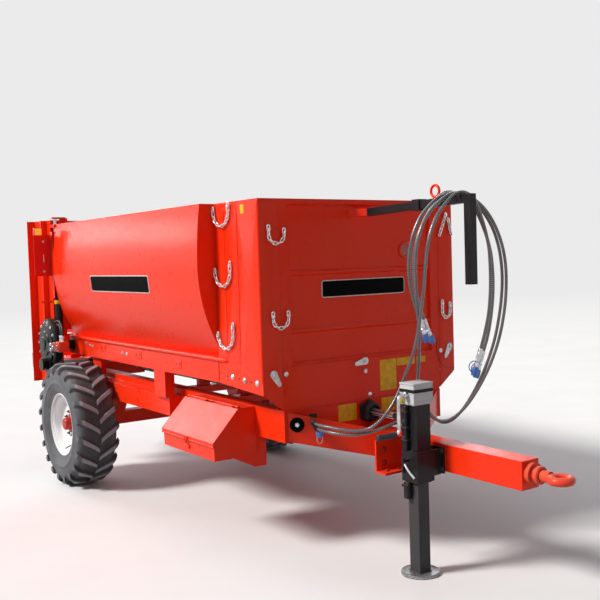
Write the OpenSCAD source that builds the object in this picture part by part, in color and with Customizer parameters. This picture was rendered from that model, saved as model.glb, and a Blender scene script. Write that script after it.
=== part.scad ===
// Trailed fertilizer spreader: an open hopper with curved walls on a single axle,
// a chain-and-slat floor, a lifting gate and two upright beaters at the rear.
// Lengths are in millimetres. X points forward to the towing eye, Y to the machine's
// left and Z up. Inside the modules x = 0 is the hopper's front face.

/* [Overall] */
// From the hopper's front face forward to the tip of the towing eye
eye_reach = 1334; // [1300:2:1400]
// From the hopper's front face back to the rear edge of the spreading deck
rear_reach = 3370; // [3350:5:3500]

/* [Hopper] */
// Outside width of the flat front section
body_w = 1327; // [1310:1:1345]
// Height of the hopper's top edge
body_top = 1828; // [1780:1:1900]
// Length of the flat front section
front_len = 432; // [400:1:480]
// From the front face to the rear edge of the curved walls
hopper_len = 2650; // [2640:1:2655]
// Thickness of the hopper's sheets
sheet_t = 4; // [3:0.5:5]
// Height of the floor's top face
floor_z = 990; // [985:1:1000]
// Thickness of the floor plate
floor_t = 6; // [4:1:8]
// Height of the lower edge of the side sills
sill_z = 870; // [855:1:880]
// Radius of the rolled ledge on top of the sills
ledge_r = 14; // [10:1:18]
// Half the width of the hopper at its widest line
bulge_half = 776; // [770:1:785]
// Height of the widest line
bulge_z = 1500; // [1480:1:1520]
// Radius of the wall below the widest line
wall_r_low = 889; // [860:1:920]
// Radius of the wall above the widest line
wall_r_up = 2200; // [2000:10:2600]
// Depth of the folded lip along the top edges
lip_w = 30; // [20:1:40]
// Height of the lower edge of the front wall
apron_z = 759; // [756:1:765]
// Height of the slanted lower corners of the front wall
apron_rise = 85; // [70:1:100]
// Width of the folded corner posts, seen from the front
corner_w = 117; // [100:1:130]
// Depth of the front wall's recessed field
field_depth = 14; // [8:1:20]

/* [Chassis] */
// Outside width across the two main rails
rail_span = 1086; // [1060:2:1110]
// Width of a main rail
rail_w = 80; // [70:1:90]
// Height of a main rail
rail_h = 160; // [150:1:165]
// Height of the underside of the main rails
rail_z = 590; // [585:1:595]
// From the front face to the rear ends of the main rails
rail_len = 2775; // [2750:1:2776]
// Height of the outer side beams
side_beam_h = 115; // [100:1:125]
// Width of the drawbar beam
drawbar_w = 110; // [100:1:120]
// Height of the drawbar beam
drawbar_h = 130; // [115:1:140]
// Height of the underside of the drawbar beam
drawbar_z = 485; // [475:1:495]
// From the front face to the front end of the drawbar beam
drawbar_reach = 1110; // [1080:1:1125]
// Length of the slanted nose plates along the machine
nose_len = 300; // [250:1:340]

/* [Wheels] */
// Distance from the front face back to the axle
axle_back = 2235; // [2220:1:2245]
// Outside diameter of the tyres over the lugs
tyre_d = 845; // [835:1:850]
// Width of the tyres
tyre_w = 290; // [270:1:300]
// Distance between the middles of the two tyres
track_w = 1590; // [1585:1:1600]
// Height of the tyre lugs
lug_h = 24; // [18:1:30]
// Number of lugs on each half of a tyre
lug_count = 20; // [16:1:22]
// Radius of the rim where the tyre sits
rim_r = 195; // [188:1:200]
// Height of the rim flanges above the seat
rim_flange_h = 20; // [15:1:24]
// Width of the rim between its flanges
rim_w = 230; // [215:1:240]
// Side of the square axle beam
axle_side = 90; // [80:1:100]
// Radius of the wheel spindles
spindle_r = 25; // [22:1:28]

/* [Floor conveyor] */
// Pitch radius of the conveyor sprockets
sprocket_r = 68; // [62:1:70]
// Height of the slats
slat_h = 28; // [22:1:32]
// Width of a slat along the machine
slat_w = 30; // [25:1:40]
// Distance between slats
slat_pitch = 260; // [220:1:320]
// Half the length of a slat
slat_half = 575; // [560:1:585]
// Radius of the conveyor shafts
conveyor_shaft_r = 20; // [17:1:22]
// Distance from the front face to the front conveyor shaft
idler_back = 200; // [195:1:220]
// Distance from the hopper's rear edge forward to the rear conveyor shaft
driver_inset = 40; // [35:1:50]

/* [Rear unit] */
// Height of the rear frame's top
rear_top = 1862; // [1850:1:1900]
// Height of the lower ends of the rear posts
rear_foot = 650; // [640:1:660]
// Half the width across the outer flanges of the rear posts
flange_half = 861; // [855:1:870]
// Radius of the beaters over the blades
beater_r = 285; // [270:1:288]
// Distance between the two beater shafts
beater_gap = 660; // [650:1:690]
// Distance from the front face to the beater shafts
beater_back = 3052; // [3050:1:3060]
// Radius of the beater shafts
beater_shaft_r = 38; // [32:1:42]
// Rise of a beater flight in one turn
flight_pitch = 320; // [280:5:360]
// Radius of the beater flights
flight_r = 215; // [190:1:225]
// Thickness of the gate plate
gate_t = 6; // [5:1:8]
// Room between the gate's edge and the outer flange of the rear post
gate_inset = 161; // [159:1:170]

/* [Toolbox and jack] */
// Length of the toolbox along the machine
box_len = 580; // [500:5:600]
// Thickness of the toolbox sheets
box_t = 3; // [2:0.5:4]
// Distance from the front face to the front end of the toolbox
box_back = 280; // [260:1:320]
// Side of the square outer jack tube
jack_side = 88; // [84:1:92]
// Side of the square inner jack leg
leg_side = 68; // [64:1:70]
// Diameter of the jack's foot
foot_d = 185; // [150:1:200]
// How far the jack leg can be wound up
jack_lift = 250; // [200:5:255]
// Height of the top of the outer jack tube
jack_top = 820; // [815:1:830]

/* [Hoses] */
// Diameter of the hydraulic hoses
hose_d = 16; // [14:1:20]
// Side of the square hose boom
boom_side = 40; // [36:1:50]
// How far the hose boom reaches forward
boom_reach = 804; // [790:2:820]

/* [Hidden] */
$fn = 48;
paint = "orangered";
arc_fn = 360;
eps = 1;

front_x = (rear_reach - eye_reach) / 2;
driver_back = hopper_len - driver_inset;
gate_half = flange_half - gate_inset;
panel_y = body_w / 2;
ledge_z = floor_z;
wall_z0 = ledge_z + ledge_r;
rail_out = rail_span / 2;
rail_top = rail_z + rail_h;
tyre_r = tyre_d / 2;
wheel_y = track_w / 2;
tyre_in = wheel_y - tyre_w / 2;
side_beam_out = tyre_in - 18;
floor_half = panel_y - sheet_t - 40;
running = 0.05;
seat = 0.3;
clear = 6;

// Moves the machine so that the origin is under the middle of its outline
module placed() {
    translate([front_x, 0, 0]) children();
}

// Draws for the left side, or mirrored for the right side
module on_side(left) {
    mirror([0, left ? 0 : 1, 0]) children();
}

// Extrudes an outline given in Y and Z from x0 to x1
module along_x(x0, x1) {
    translate([x0, 0, 0]) rotate([90, 0, 90]) linear_extrude(x1 - x0) children();
}

// Extrudes an outline given in X and Z from y0 to y1
module along_y(y0, y1) {
    translate([0, y1, 0]) rotate([90, 0, 0]) linear_extrude(y1 - y0) children();
}

// A box from its low corner to its high corner
module block(low, high) {
    translate(low) cube(high - low);
}

// A cylinder between two heights along Y
module rod_y(x, z, r, y0, y1) {
    translate([x, y0, z]) rotate([-90, 0, 0]) cylinder(r = r, h = y1 - y0);
}

// A cylinder between two places along X
module rod_x(y, z, r, x0, x1) {
    translate([x0, y, z]) rotate([0, 90, 0]) cylinder(r = r, h = x1 - x0);
}

// Turns an outline of radius and height about the Y axis
module revolve_y() {
    rotate([-90, 0, 0]) rotate_extrude() children();
}

// Left half of the hopper's cross-section, moved inwards by a wall thickness
module half_profile(inset) {
    intersection() {
        translate([bulge_half - wall_r_low, bulge_z]) circle(r = wall_r_low - inset, $fn = arc_fn);
        translate([0, wall_z0]) square([bulge_half + eps, bulge_z - wall_z0]);
    }
    intersection() {
        translate([bulge_half - wall_r_up, bulge_z]) circle(r = wall_r_up - inset, $fn = arc_fn);
        translate([0, bulge_z]) square([bulge_half + eps, body_top - bulge_z]);
    }
}

// Half the width of the hopper at its top edge
top_half = bulge_half - wall_r_up + sqrt(pow(wall_r_up, 2) - pow(body_top - bulge_z, 2));

strap_h = 22;
strap_t = 12;
module side_wall(left) {
    color(paint) placed() on_side(left) {
        along_x(-hopper_len, -front_len) difference() {
            half_profile(0);
            half_profile(sheet_t);
        }
        // Crescent that closes the step to the flat front section
        along_x(-front_len - sheet_t, -front_len) difference() {
            half_profile(0);
            translate([-eps, wall_z0 - eps]) square([panel_y + eps, body_top]);
        }
        block([-hopper_len, top_half - lip_w, body_top - sheet_t], [-front_len, top_half - eps, body_top]);
        // Strap back to the rear post with its corner plate
        block([post_front, strap_in, body_top - strap_h],
            [-hopper_len + strap_h, strap_in + strap_t, body_top]);
        block([-hopper_len, top_half - lip_w, body_top - strap_h],
            [-hopper_len + strap_t, strap_in + strap_t, body_top]);
    }
}

// Sill plate with its rolled ledge, in Y and Z
module sill_profile() {
    translate([panel_y - sheet_t, sill_z]) square([sheet_t, ledge_z - sill_z]);
    translate([panel_y - ledge_r, ledge_z]) intersection() {
        difference() {
            circle(r = ledge_r);
            circle(r = ledge_r - sheet_t);
        }
        square(ledge_r);
    }
    translate([floor_half, ledge_z + ledge_r - sheet_t]) square([panel_y - ledge_r - floor_half, sheet_t]);
    translate([floor_half, floor_z - floor_t]) square([sheet_t, ledge_r + floor_t]);
}

module sill(left) {
    color(paint) placed() on_side(left) difference() {
        union() {
            along_x(-hopper_len - 15, -front_len) sill_profile();
            // Bracket to the rear post
            block([post_front, panel_y, sill_z + 10], [-hopper_len - 2, panel_y + 6, sill_z + 90]);
            block([post_front, panel_y, sill_z + 10], [post_front + 6, gate_half + 2 * clear, sill_z + 90]);
        }
        rod_y(-driver_back, conveyor_z, conveyor_shaft_r + 3, panel_y - 2 * sheet_t, panel_y + eps);
    }
}

// Side panel of the front section with its folded front corner
module front_corner(left) {
    color(paint) placed() on_side(left) {
        along_y(panel_y - sheet_t, panel_y) polygon([
            [-front_len, sill_z], [0, apron_z + apron_rise], [0, body_top], [-front_len, body_top]]);
        along_x(-sheet_t, 0) polygon([
            [panel_y - corner_w, apron_z + apron_rise + 20], [panel_y, apron_z + apron_rise],
            [panel_y, body_top], [panel_y - corner_w, body_top]]);
        block([-front_len, panel_y - lip_w, body_top - sheet_t], [0, panel_y, body_top]);
        // Inner leg that carries the wall's lower edge on from the sill
        block([-front_len, floor_half, floor_z - floor_t],
            [-sheet_t, floor_half + sheet_t, floor_z + ledge_r]);
        block([-front_len, floor_half, floor_z + ledge_r - sheet_t], [-sheet_t, panel_y, floor_z + ledge_r]);
    }
}

// Front wall outline from below: plain apron, recessed field with two ridges, top rail
field_low = floor_z;
field_high = body_top - 38;
ridge_low = field_low + 0.206 * (field_high - field_low);
ridge_high = field_low + 0.575 * (field_high - field_low);
ridge_rise = 10;
ridge_half = 6;
function ridge(z) = [[-field_depth, z - ridge_half - ridge_rise], [ridge_rise - field_depth, z - ridge_half],
    [ridge_rise - field_depth, z + ridge_half], [-field_depth, z + ridge_half + ridge_rise]];
field_line = concat([[0, field_low - field_depth], [-field_depth, field_low]], ridge(ridge_low),
    ridge(ridge_high), [[-field_depth, field_high], [0, field_high + field_depth]]);
function reversed(list) = [for (i = [len(list) - 1:-1:0]) list[i]];

bracket_half = 80;
module front_wall() {
    half = panel_y - corner_w - seat;
    field_half = half - 60;
    color(paint) placed() {
        // Apron and corner strips
        along_x(-sheet_t, 0) difference() {
            polygon([
                [-half - seat, apron_z], [half + seat, apron_z],
                [panel_y - sheet_t, apron_z + apron_rise - 2], [half, apron_z + apron_rise + 14],
                [half, body_top], [-half, body_top],
                [-half, apron_z + apron_rise + 14], [-panel_y + sheet_t, apron_z + apron_rise - 2]]);
            translate([-field_half, field_low - field_depth])
                square([2 * field_half, field_high - field_low + 2 * field_depth]);
        }
        // Recessed field with its ridges
        along_y(-field_half, field_half)
            polygon(concat(field_line, reversed([for (p = field_line) [p[0] - sheet_t, p[1]]])));
        for (y = [-field_half, field_half - sheet_t])
            block([-field_depth - sheet_t, y, field_low], [0, y + sheet_t, field_high]);
        // Lip along the top edge
        block([-lip_w, -half, body_top - sheet_t], [0, half, body_top]);
        // Wedge-shaped bracket of the hose boom
        translate([0, 0, boom_z - boom_rise - boom_side / 2]) linear_extrude(boom_side) polygon([
            [-field_depth, -bracket_half], [boom_root, -boom_side / 2],
            [boom_root, boom_side / 2], [-field_depth, bracket_half]]);
        // Bearer that rests on the two main rails
        difference() {
            block([-70, -rail_out, rail_top], [-sheet_t, rail_out, rail_top + 110]);
            block([-70 + 6, -rail_out - eps, rail_top + 6], [-sheet_t - 6, rail_out + eps, rail_top + 104]);
        }
    }
}

// Plate that leads the load over the front of the conveyor
module front_apron() {
    drop = 150;
    foot = floor_z + slat_h + 26;
    color(paint) placed() along_y(-floor_half, floor_half) polygon([
        [-field_depth - sheet_t - seat, foot + drop], [-field_depth - sheet_t - seat, foot + drop - 8],
        [-idler_back - 60, foot], [-idler_back - 68, foot + 4]]);
}

cross_x = [-420, -780, -1180, -1710, -2240];
cross_w = 60;
cross_z0 = 906;
module hopper_floor() {
    color(paint) placed() {
        block([-driver_back + 60, -floor_half, floor_z - floor_t], [-idler_back - 40, floor_half, floor_z]);
        for (x = cross_x) difference() {
            block([x - cross_w / 2, -panel_y + sheet_t, cross_z0],
                [x + cross_w / 2, panel_y - sheet_t, floor_z - floor_t]);
            block([x - cross_w / 2 + 5, -panel_y, cross_z0 + 5],
                [x + cross_w / 2 - 5, panel_y, floor_z - floor_t - 5]);
        }
    }
}

conveyor_z = floor_z + 9 - sprocket_r;
chain_t = 16;
chain_y = [-500, -170, 170, 500];
// Place and turn of a point of the loop, from the length run along it
run_len = driver_back - idler_back;
loop_len = 2 * run_len + 2 * PI * sprocket_r;
function loop_at(s) =
    s < run_len ? [-idler_back - s, sprocket_r, 0] :
    s < run_len + PI * sprocket_r ?
        let (a = (s - run_len) / sprocket_r * 180 / PI)
            [-driver_back - sprocket_r * sin(a), sprocket_r * cos(a), -a] :
    s < 2 * run_len + PI * sprocket_r ? [-driver_back + s - run_len - PI * sprocket_r, -sprocket_r, 180] :
        let (a = (s - 2 * run_len - PI * sprocket_r) / sprocket_r * 180 / PI)
            [-idler_back + sprocket_r * sin(a), -sprocket_r * cos(a), 180 - a];
module loop_outline(r) {
    translate([-idler_back, conveyor_z]) circle(r = r);
    translate([-driver_back, conveyor_z]) circle(r = r);
    translate([-driver_back, conveyor_z - r]) square([run_len, 2 * r]);
}

module conveyor() {
    slats = floor(loop_len / slat_pitch);
    color("dimgray") placed() {
        for (y = chain_y) along_y(y - 12, y + 12) difference() {
            loop_outline(sprocket_r + chain_t / 2);
            loop_outline(sprocket_r - chain_t / 2);
        }
        for (i = [0:slats - 1]) {
            p = loop_at((i + 0.5) * loop_len / slats);
            translate([p[0], 0, conveyor_z + p[1]]) rotate([0, p[2], 0])
                block([-slat_w / 2, -slat_half, chain_t / 2 - 2], [slat_w / 2, slat_half, slat_h]);
        }
        for (x = [-idler_back, -driver_back]) for (y = chain_y)
            rod_y(x, conveyor_z, sprocket_r - chain_t / 2 + 1, y - 8, y + 8);
        rod_y(-idler_back, conveyor_z, conveyor_shaft_r, -panel_y + sheet_t, panel_y - sheet_t);
        rod_y(-driver_back, conveyor_z, conveyor_shaft_r, -gearbox_in - 20, panel_y + 20);
    }
}

// Gearbox and hydraulic motor on the machine's right side
gearbox_in = 772;
gearbox_t = 70;
module conveyor_drive() {
    x0 = -driver_back - 150;
    color("black") placed() {
        difference() {
            translate([0, -gearbox_in - gearbox_t, 0]) along_y(0, gearbox_t) {
                translate([-driver_back - 20, conveyor_z]) circle(r = 78);
                translate([-driver_back - 75, conveyor_z - 130]) circle(r = 72);
                polygon([[-driver_back - 147, conveyor_z - 130], [-driver_back - 98, conveyor_z],
                    [-driver_back + 58, conveyor_z], [-driver_back - 3, conveyor_z - 130]]);
            }
            rod_y(-driver_back, conveyor_z, conveyor_shaft_r + running, -gearbox_in - 22, -gearbox_in + eps);
        }
        rod_y(-driver_back - 75, conveyor_z - 130, 45, -gearbox_in - gearbox_t - 45, -gearbox_in - gearbox_t);
        rod_y(-driver_back, conveyor_z, 34, -gearbox_in - gearbox_t - 14, -gearbox_in - gearbox_t);
        // Collar that carries the gearbox on the sill
        difference() {
            rod_y(-driver_back, conveyor_z, 40, -gearbox_in, -panel_y - seat);
            rod_y(-driver_back, conveyor_z, conveyor_shaft_r + running, -gearbox_in - eps, -panel_y + eps);
        }
    }
}

// Rear posts, in X and Y: an outer flange, two side faces with a step, and a front fold
post_t = 6;
post_depth = 240;
post_gap = 58;
flange_w = 55;
step_w = 40;
step_depth = 90;
post_front = -hopper_len - post_gap;
post_rear = post_front - post_depth;
post_step = post_front - step_depth;
post_mid = flange_half - flange_w;
post_in = post_mid - step_w;
gate_gap = 18;
gate_x = post_front + gate_gap;
guide_gap = gate_t + 12;
guide_grip = 18;
module rear_post() {
    translate([0, 0, rear_foot]) linear_extrude(rear_top - rear_foot) {
        translate([post_rear, post_mid]) square([post_t, flange_w]);
        translate([post_rear, post_mid - post_t]) square([post_step - post_rear, post_t]);
        translate([post_step - post_t, post_in - post_t]) square([post_t, step_w]);
        translate([post_step - post_t, post_in - post_t]) square([step_depth + post_t, post_t]);
        // Front fold towards the gate
        translate([post_front - post_t, gate_half + clear]) square([post_t, post_in - gate_half - clear]);
    }
    // Guide channel in which the gate's edge runs
    x_back = gate_x - guide_gap / 2;
    x_front = gate_x + guide_gap / 2;
    translate([0, 0, wall_z0]) linear_extrude(rear_top - wall_z0) {
        translate([post_front, gate_half + clear]) square([x_front + post_t - post_front, sheet_t]);
        translate([x_back - post_t, gate_half - guide_grip]) square([post_t, clear + guide_grip]);
        translate([x_front, gate_half - guide_grip]) square([post_t, clear + guide_grip]);
    }
}

beam_x0 = post_rear + 8;
beam_x1 = -rail_len;
beam_half = post_in - post_t;
top_beam_half = post_mid - post_t;
top_beam_h = 82;
top_beam_w = 150;
bearing_plate = 12;
journal_r = 20;
arm_top = rear_top - top_beam_h + bearing_plate;
module rear_frame() {
    color(paint) placed() {
        difference() {
            union() {
                on_side(true) rear_post();
                on_side(false) rear_post();
                // Lower beam, hollow, with the drive shaft through it
                difference() {
                    block([beam_x0, -beam_half, rear_foot], [beam_x1, beam_half, rail_top + 10]);
                    block([beam_x0 + post_t, -flange_half, rear_foot + post_t],
                        [beam_x1 - post_t, flange_half, rail_top + 10 - post_t]);
                }
                // Upper beam, hollow
                difference() {
                    block([beam_x0, -top_beam_half, rear_top - top_beam_h],
                        [beam_x0 + top_beam_w, top_beam_half, rear_top]);
                    block([beam_x0 + post_t, -flange_half, rear_top - top_beam_h + post_t],
                        [beam_x0 + top_beam_w - post_t, flange_half, rear_top - post_t]);
                }
                // Arms that hold the upper beater bearings
                for (y = [-beater_gap / 2, beater_gap / 2]) {
                    block([-beater_back - 60, y - 60, rear_top - top_beam_h], [beam_x0, y + 60, arm_top]);
                    translate([-beater_back, y, arm_top]) cylinder(r = 55, h = 30);
                }
            }
            for (y = [-beater_gap / 2, beater_gap / 2])
                translate([-beater_back, y, rear_top - top_beam_h - eps])
                    cylinder(r = journal_r + running, h = 60);
            rod_x(0, shaft_z, 46, beam_x0 - eps, beam_x1 + eps);
        }
    }
}

gate_z0 = floor_z + slat_h + 26;
gate_z1 = rear_top - top_beam_h;
gate_rib = 40;
module gate() {
    color(paint) placed() {
        block([gate_x - gate_t / 2, -gate_half, gate_z0], [gate_x + gate_t / 2, gate_half, gate_z1]);
        for (z = [gate_z0, (gate_z0 + gate_z1 - gate_rib) / 2, gate_z1 - gate_rib])
            block([gate_x - gate_t / 2 - 24, -gate_half + gate_rib, z],
                [gate_x - gate_t / 2, gate_half - gate_rib, z + gate_rib]);
        // Ears over the guides for the rods of the cylinders
        for (left = [false, true]) on_side(left) {
            block([gate_x - gate_t / 2, gate_half - 60, gate_z1],
                [gate_x + gate_t / 2, gate_half, rear_top + 14]);
            block([gate_x - 18, gate_half - 40, rear_top + 8], [gate_x + 22, cyl_y + 22, rear_top + 20]);
        }
    }
}

cyl_y = gate_half + 38;
cyl_x = gate_x + 10;
cyl_r = 25;
cyl_z0 = floor_z - 5;
cyl_z1 = rear_top - 92;
rod_r = 12;
strap_in = cyl_y + rod_r + 3;
module gate_cylinders() {
    color("black") placed() for (left = [false, true]) on_side(left) {
        difference() {
            translate([cyl_x, cyl_y, cyl_z0]) cylinder(r = cyl_r, h = cyl_z1 - cyl_z0);
            translate([cyl_x, cyl_y, cyl_z0 + 40]) cylinder(r = rod_r + running, h = cyl_z1 - cyl_z0);
        }
        // Foot bracket back to the post
        block([post_front, cyl_y - 20, cyl_z0 - 30], [cyl_x + 20, cyl_y + 20, cyl_z0]);
    }
}

module gate_rods() {
    color("silver") placed() for (left = [false, true]) on_side(left)
        translate([cyl_x, cyl_y, cyl_z0 + 60]) cylinder(r = rod_r, h = rear_top + 8 - cyl_z0 - 60);
}

// Beaters: a shaft with a bottom disc and two helical flights that carry blades
deck_z = 762;
disc_z = deck_z + 32;
flight_z0 = disc_z + 40;
flight_z1 = rear_top - 130;
flight_t = 6;
flight_steps = 20;
blade_h = 62;
module beater_rotor(left) {
    color(paint) placed() translate([-beater_back, left ? beater_gap / 2 : -beater_gap / 2, 0]) {
        translate([0, 0, disc_z]) cylinder(r = beater_shaft_r, h = rear_top - 90 - disc_z);
        translate([0, 0, rear_top - 90]) cylinder(r = 20, h = 45);
        translate([0, 0, disc_z]) cylinder(r = beater_r, h = 8);
        translate([0, 0, deck_z + 8]) cylinder(r = 34, h = disc_z - deck_z - 8);
        // Throwing paddles on the disc
        for (a = [0:60:300]) rotate([0, 0, a])
            block([90, -4, disc_z + 8], [beater_r, 4, disc_z + 38]);
    }
}

// One helical flight: rings of four corners joined into a closed strip
module flight(r0, r1, turn) {
    turns = (flight_z1 - flight_z0) / flight_pitch;
    count = ceil(turns * flight_steps);
    rings = [for (i = [0:count]) let (
        a = turn * 360 * turns * i / count, z = (flight_z1 - flight_z0) * i / count)
        [for (c = [[r0, 0], [r1, 0], [r1, flight_t], [r0, flight_t]])
            [c[0] * cos(a), c[0] * sin(a), z + c[1]]]];
    points = [for (ring = rings) each ring];
    sides = [for (i = [0:count - 1]) for (k = [0:3]) for (tri = [
        [4 * i + k, 4 * i + (k + 1) % 4, 4 * i + 4 + (k + 1) % 4],
        [4 * i + k, 4 * i + 4 + (k + 1) % 4, 4 * i + 4 + k]]) tri];
    last = 4 * count;
    ends = [[3, 2, 1], [3, 1, 0], [last, last + 1, last + 2], [last, last + 2, last + 3]];
    faces = concat(sides, ends);
    polyhedron(points, turn > 0 ? faces : [for (f = faces) [f[2], f[1], f[0]]]);
}

module beater_flights(left) {
    turn = left ? 1 : -1;
    turns = (flight_z1 - flight_z0) / flight_pitch;
    r0 = (beater_shaft_r + seat) / cos(180 / flight_steps);
    color(paint) placed() translate([-beater_back, left ? beater_gap / 2 : -beater_gap / 2, flight_z0])
        for (start = [0, 180]) rotate([0, 0, start]) {
            flight(r0, flight_r, turn);
            // Blades stand across the flight and reach past its edge
            for (b = [30:60:360 * turns - 70]) rotate([0, 0, turn * b])
                translate([0, 0, flight_pitch * b / 360 + flight_t + 1])
                    block([flight_r - 45, -4, 0], [beater_r, 4, blade_h]);
        }
}

shaft_z = 690;
module beater_gearbox() {
    color("dimgray") placed() {
        difference() {
            union() {
                // Deck plate with round lobes under the discs
                translate([0, 0, deck_z - 8]) linear_extrude(8) {
                    for (y = [-beater_gap / 2, beater_gap / 2])
                        translate([-beater_back, y]) circle(r = rear_reach - beater_back);
                    translate([-beater_back, -beater_gap / 2])
                        square([beater_back + beam_x0 - seat, beater_gap]);
                }
                for (y = [-beater_gap / 2, beater_gap / 2]) translate([-beater_back, y, 0]) {
                    translate([0, 0, shaft_z - 70]) cylinder(r = 82, h = deck_z - 8 - shaft_z + 70);
                    translate([0, 0, deck_z]) cylinder(r = 50, h = 8 - seat);
                }
                rod_y(-beater_back, shaft_z, 45, -beater_gap / 2, beater_gap / 2);
                block([-beater_back - 75, -70, shaft_z - 65], [-beater_back + 75, 70, deck_z - 8]);
            }
            // The deck stays clear of the beam in front of it
            block([beam_x0 - seat, -flange_half, deck_z - 200], [0, flange_half, deck_z + 20]);
            rod_x(0, shaft_z, 20 + running, -beater_back + 20, 0);
        }
    }
}

// Line shaft under the hopper from the towing side to the beater gearbox
module drive_shaft() {
    color("silver") placed() {
        rod_x(0, shaft_z, 20, -beater_back + 40, -40);
        rod_x(0, shaft_z, 32, beam_x1 + 20, beam_x1 + 110);
        rod_x(0, shaft_z, 17, -40, 222);
        rod_x(0, shaft_z, 30, -60, -36);
    }
}

module pto_guard() {
    color([0.1, 0.1, 0.2]) placed() translate([0, 0, shaft_z]) rotate([0, 90, 0]) rotate_extrude()
        polygon([[32, seat], [54, seat], [54, 18], [50, 22], [44, 84], [40, 84], [45, 22], [32, 14]]);
}

shaft_cross_x = [-640, -1240, -1840];
module chassis_frame() {
    color(paint) placed() {
        difference() {
            union() {
                for (left = [false, true]) on_side(left) {
                    block([-rail_len, rail_out - rail_w, rail_z], [-12, rail_out, rail_top]);
                    // Outer side beam and its uprights to the hopper
                    block([-axle_back - 95, rail_out, rail_z + 5],
                        [-1110, side_beam_out, rail_z + 5 + side_beam_h]);
                    for (u = [[-1180, panel_y - sheet_t], [-axle_back - 5, side_beam_out]])
                        block([u[0] - 75, slat_half + 22, rail_z + 5 + side_beam_h],
                            [u[0] + 75, u[1], cross_z0]);
                    for (u = [-1180, -axle_back - 5])
                        block([u - 75, rail_out, rail_z + 5 + side_beam_h - 10],
                            [u + 75, slat_half + 22 + eps, rail_z + 5 + side_beam_h]);
                }
                for (x = shaft_cross_x)
                    block([x - 40, -rail_out + rail_w, rail_z], [x + 40, rail_out - rail_w, rail_z + 50]);
                block([-12, -rail_out, rail_z], [0, rail_out, rail_top]);
                // Bearings of the line shaft
                for (x = shaft_cross_x) block([x - 20, -45, rail_z + 50], [x + 20, 45, shaft_z + 42]);
            }
            rod_x(0, shaft_z, 38, -13, 1);
            for (x = shaft_cross_x) rod_x(0, shaft_z, 20 + running, x - 21, x + 21);
        }
    }
}

module axle() {
    half = rail_out + 17;
    mid = tyre_r;
    color(paint) placed() {
        block([-axle_back - axle_side / 2, -half, mid - axle_side / 2],
            [-axle_back + axle_side / 2, half, mid + axle_side / 2]);
        for (left = [false, true]) on_side(left) {
            rod_y(-axle_back, mid, 40, half, wheel_y - 82);
            rod_y(-axle_back, mid, spindle_r, half, wheel_y + 40);
            // Saddle up to the main rail
            along_y(rail_out - rail_w, rail_out) polygon([
                [-axle_back - 60, mid + axle_side / 2], [-axle_back + 60, mid + axle_side / 2],
                [-axle_back + 130, rail_z - 12], [-axle_back + 130, rail_z],
                [-axle_back - 130, rail_z], [-axle_back - 130, rail_z - 12]]);
        }
    }
}

beam_in = drawbar_w / 2;
module drawbar() {
    color(paint) placed() {
        // Beam with the step where it passes under the chassis
        difference() {
            along_y(-beam_in, beam_in) polygon([
                [-760, drawbar_z], [drawbar_reach, drawbar_z], [drawbar_reach, drawbar_z + drawbar_h],
                [0, drawbar_z + drawbar_h], [0, rail_z], [-760, rail_z]]);
            block([-761, -beam_in + 8, drawbar_z + 8], [drawbar_reach - 12, beam_in - 8, rail_z - 8]);
        }
        // Slanted nose plates from the chassis corners
        for (left = [false, true]) on_side(left) intersection() {
            reach = rail_out - 40 - beam_in;
            run = sqrt(pow(nose_len, 2) + pow(reach, 2));
            translate([0, rail_out - 40, 0]) rotate([0, 0, -atan2(reach, nose_len)]) along_y(0, 10)
                polygon([[-20, rail_z + 6], [run + 20, drawbar_z - 6], [run + 20, drawbar_z + drawbar_h],
                    [-20, rail_top - 4]]);
            block([0, beam_in, drawbar_z], [drawbar_reach, rail_out, rail_top]);
        }
        // Side plate that braces the jack
        block([414, -300, drawbar_z - 8], [424, -beam_in, drawbar_z + drawbar_h + 20]);
        block([424, -300, drawbar_z - 8], [492, -beam_in, drawbar_z + 2]);
    }
}

// Swivelling eye in a bearing at the drawbar's end
eye_z = drawbar_z + drawbar_h / 2 + 6;
eye_hole = 25;
eye_out = 62;
eye_half = 19;
eye_wall = 28;
module tow_eye() {
    ring_x = eye_reach - eye_out;
    color(paint) placed() {
        difference() {
            union() {
                rod_x(0, eye_z, 47, drawbar_reach + seat, drawbar_reach + 24);
                rod_x(0, eye_z, 32, drawbar_reach + 24, drawbar_reach + 44);
                rod_x(0, eye_z, 40, drawbar_reach + 44, drawbar_reach + 62);
                rod_x(0, eye_z, 26, drawbar_reach + 62, ring_x - 30);
            }
            translate([ring_x, 0, eye_z - 60]) cylinder(r = eye_out - 8, h = 120);
        }
        translate([ring_x, 0, eye_z]) rotate_extrude() {
            intersection() {
                translate([eye_out - eye_half, 0]) circle(r = eye_half);
                translate([eye_hole, -eye_half]) square([eye_out, 2 * eye_half]);
            }
            translate([eye_hole, -eye_wall / 2]) square([eye_half - eps, eye_wall]);
        }
    }
}

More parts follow.
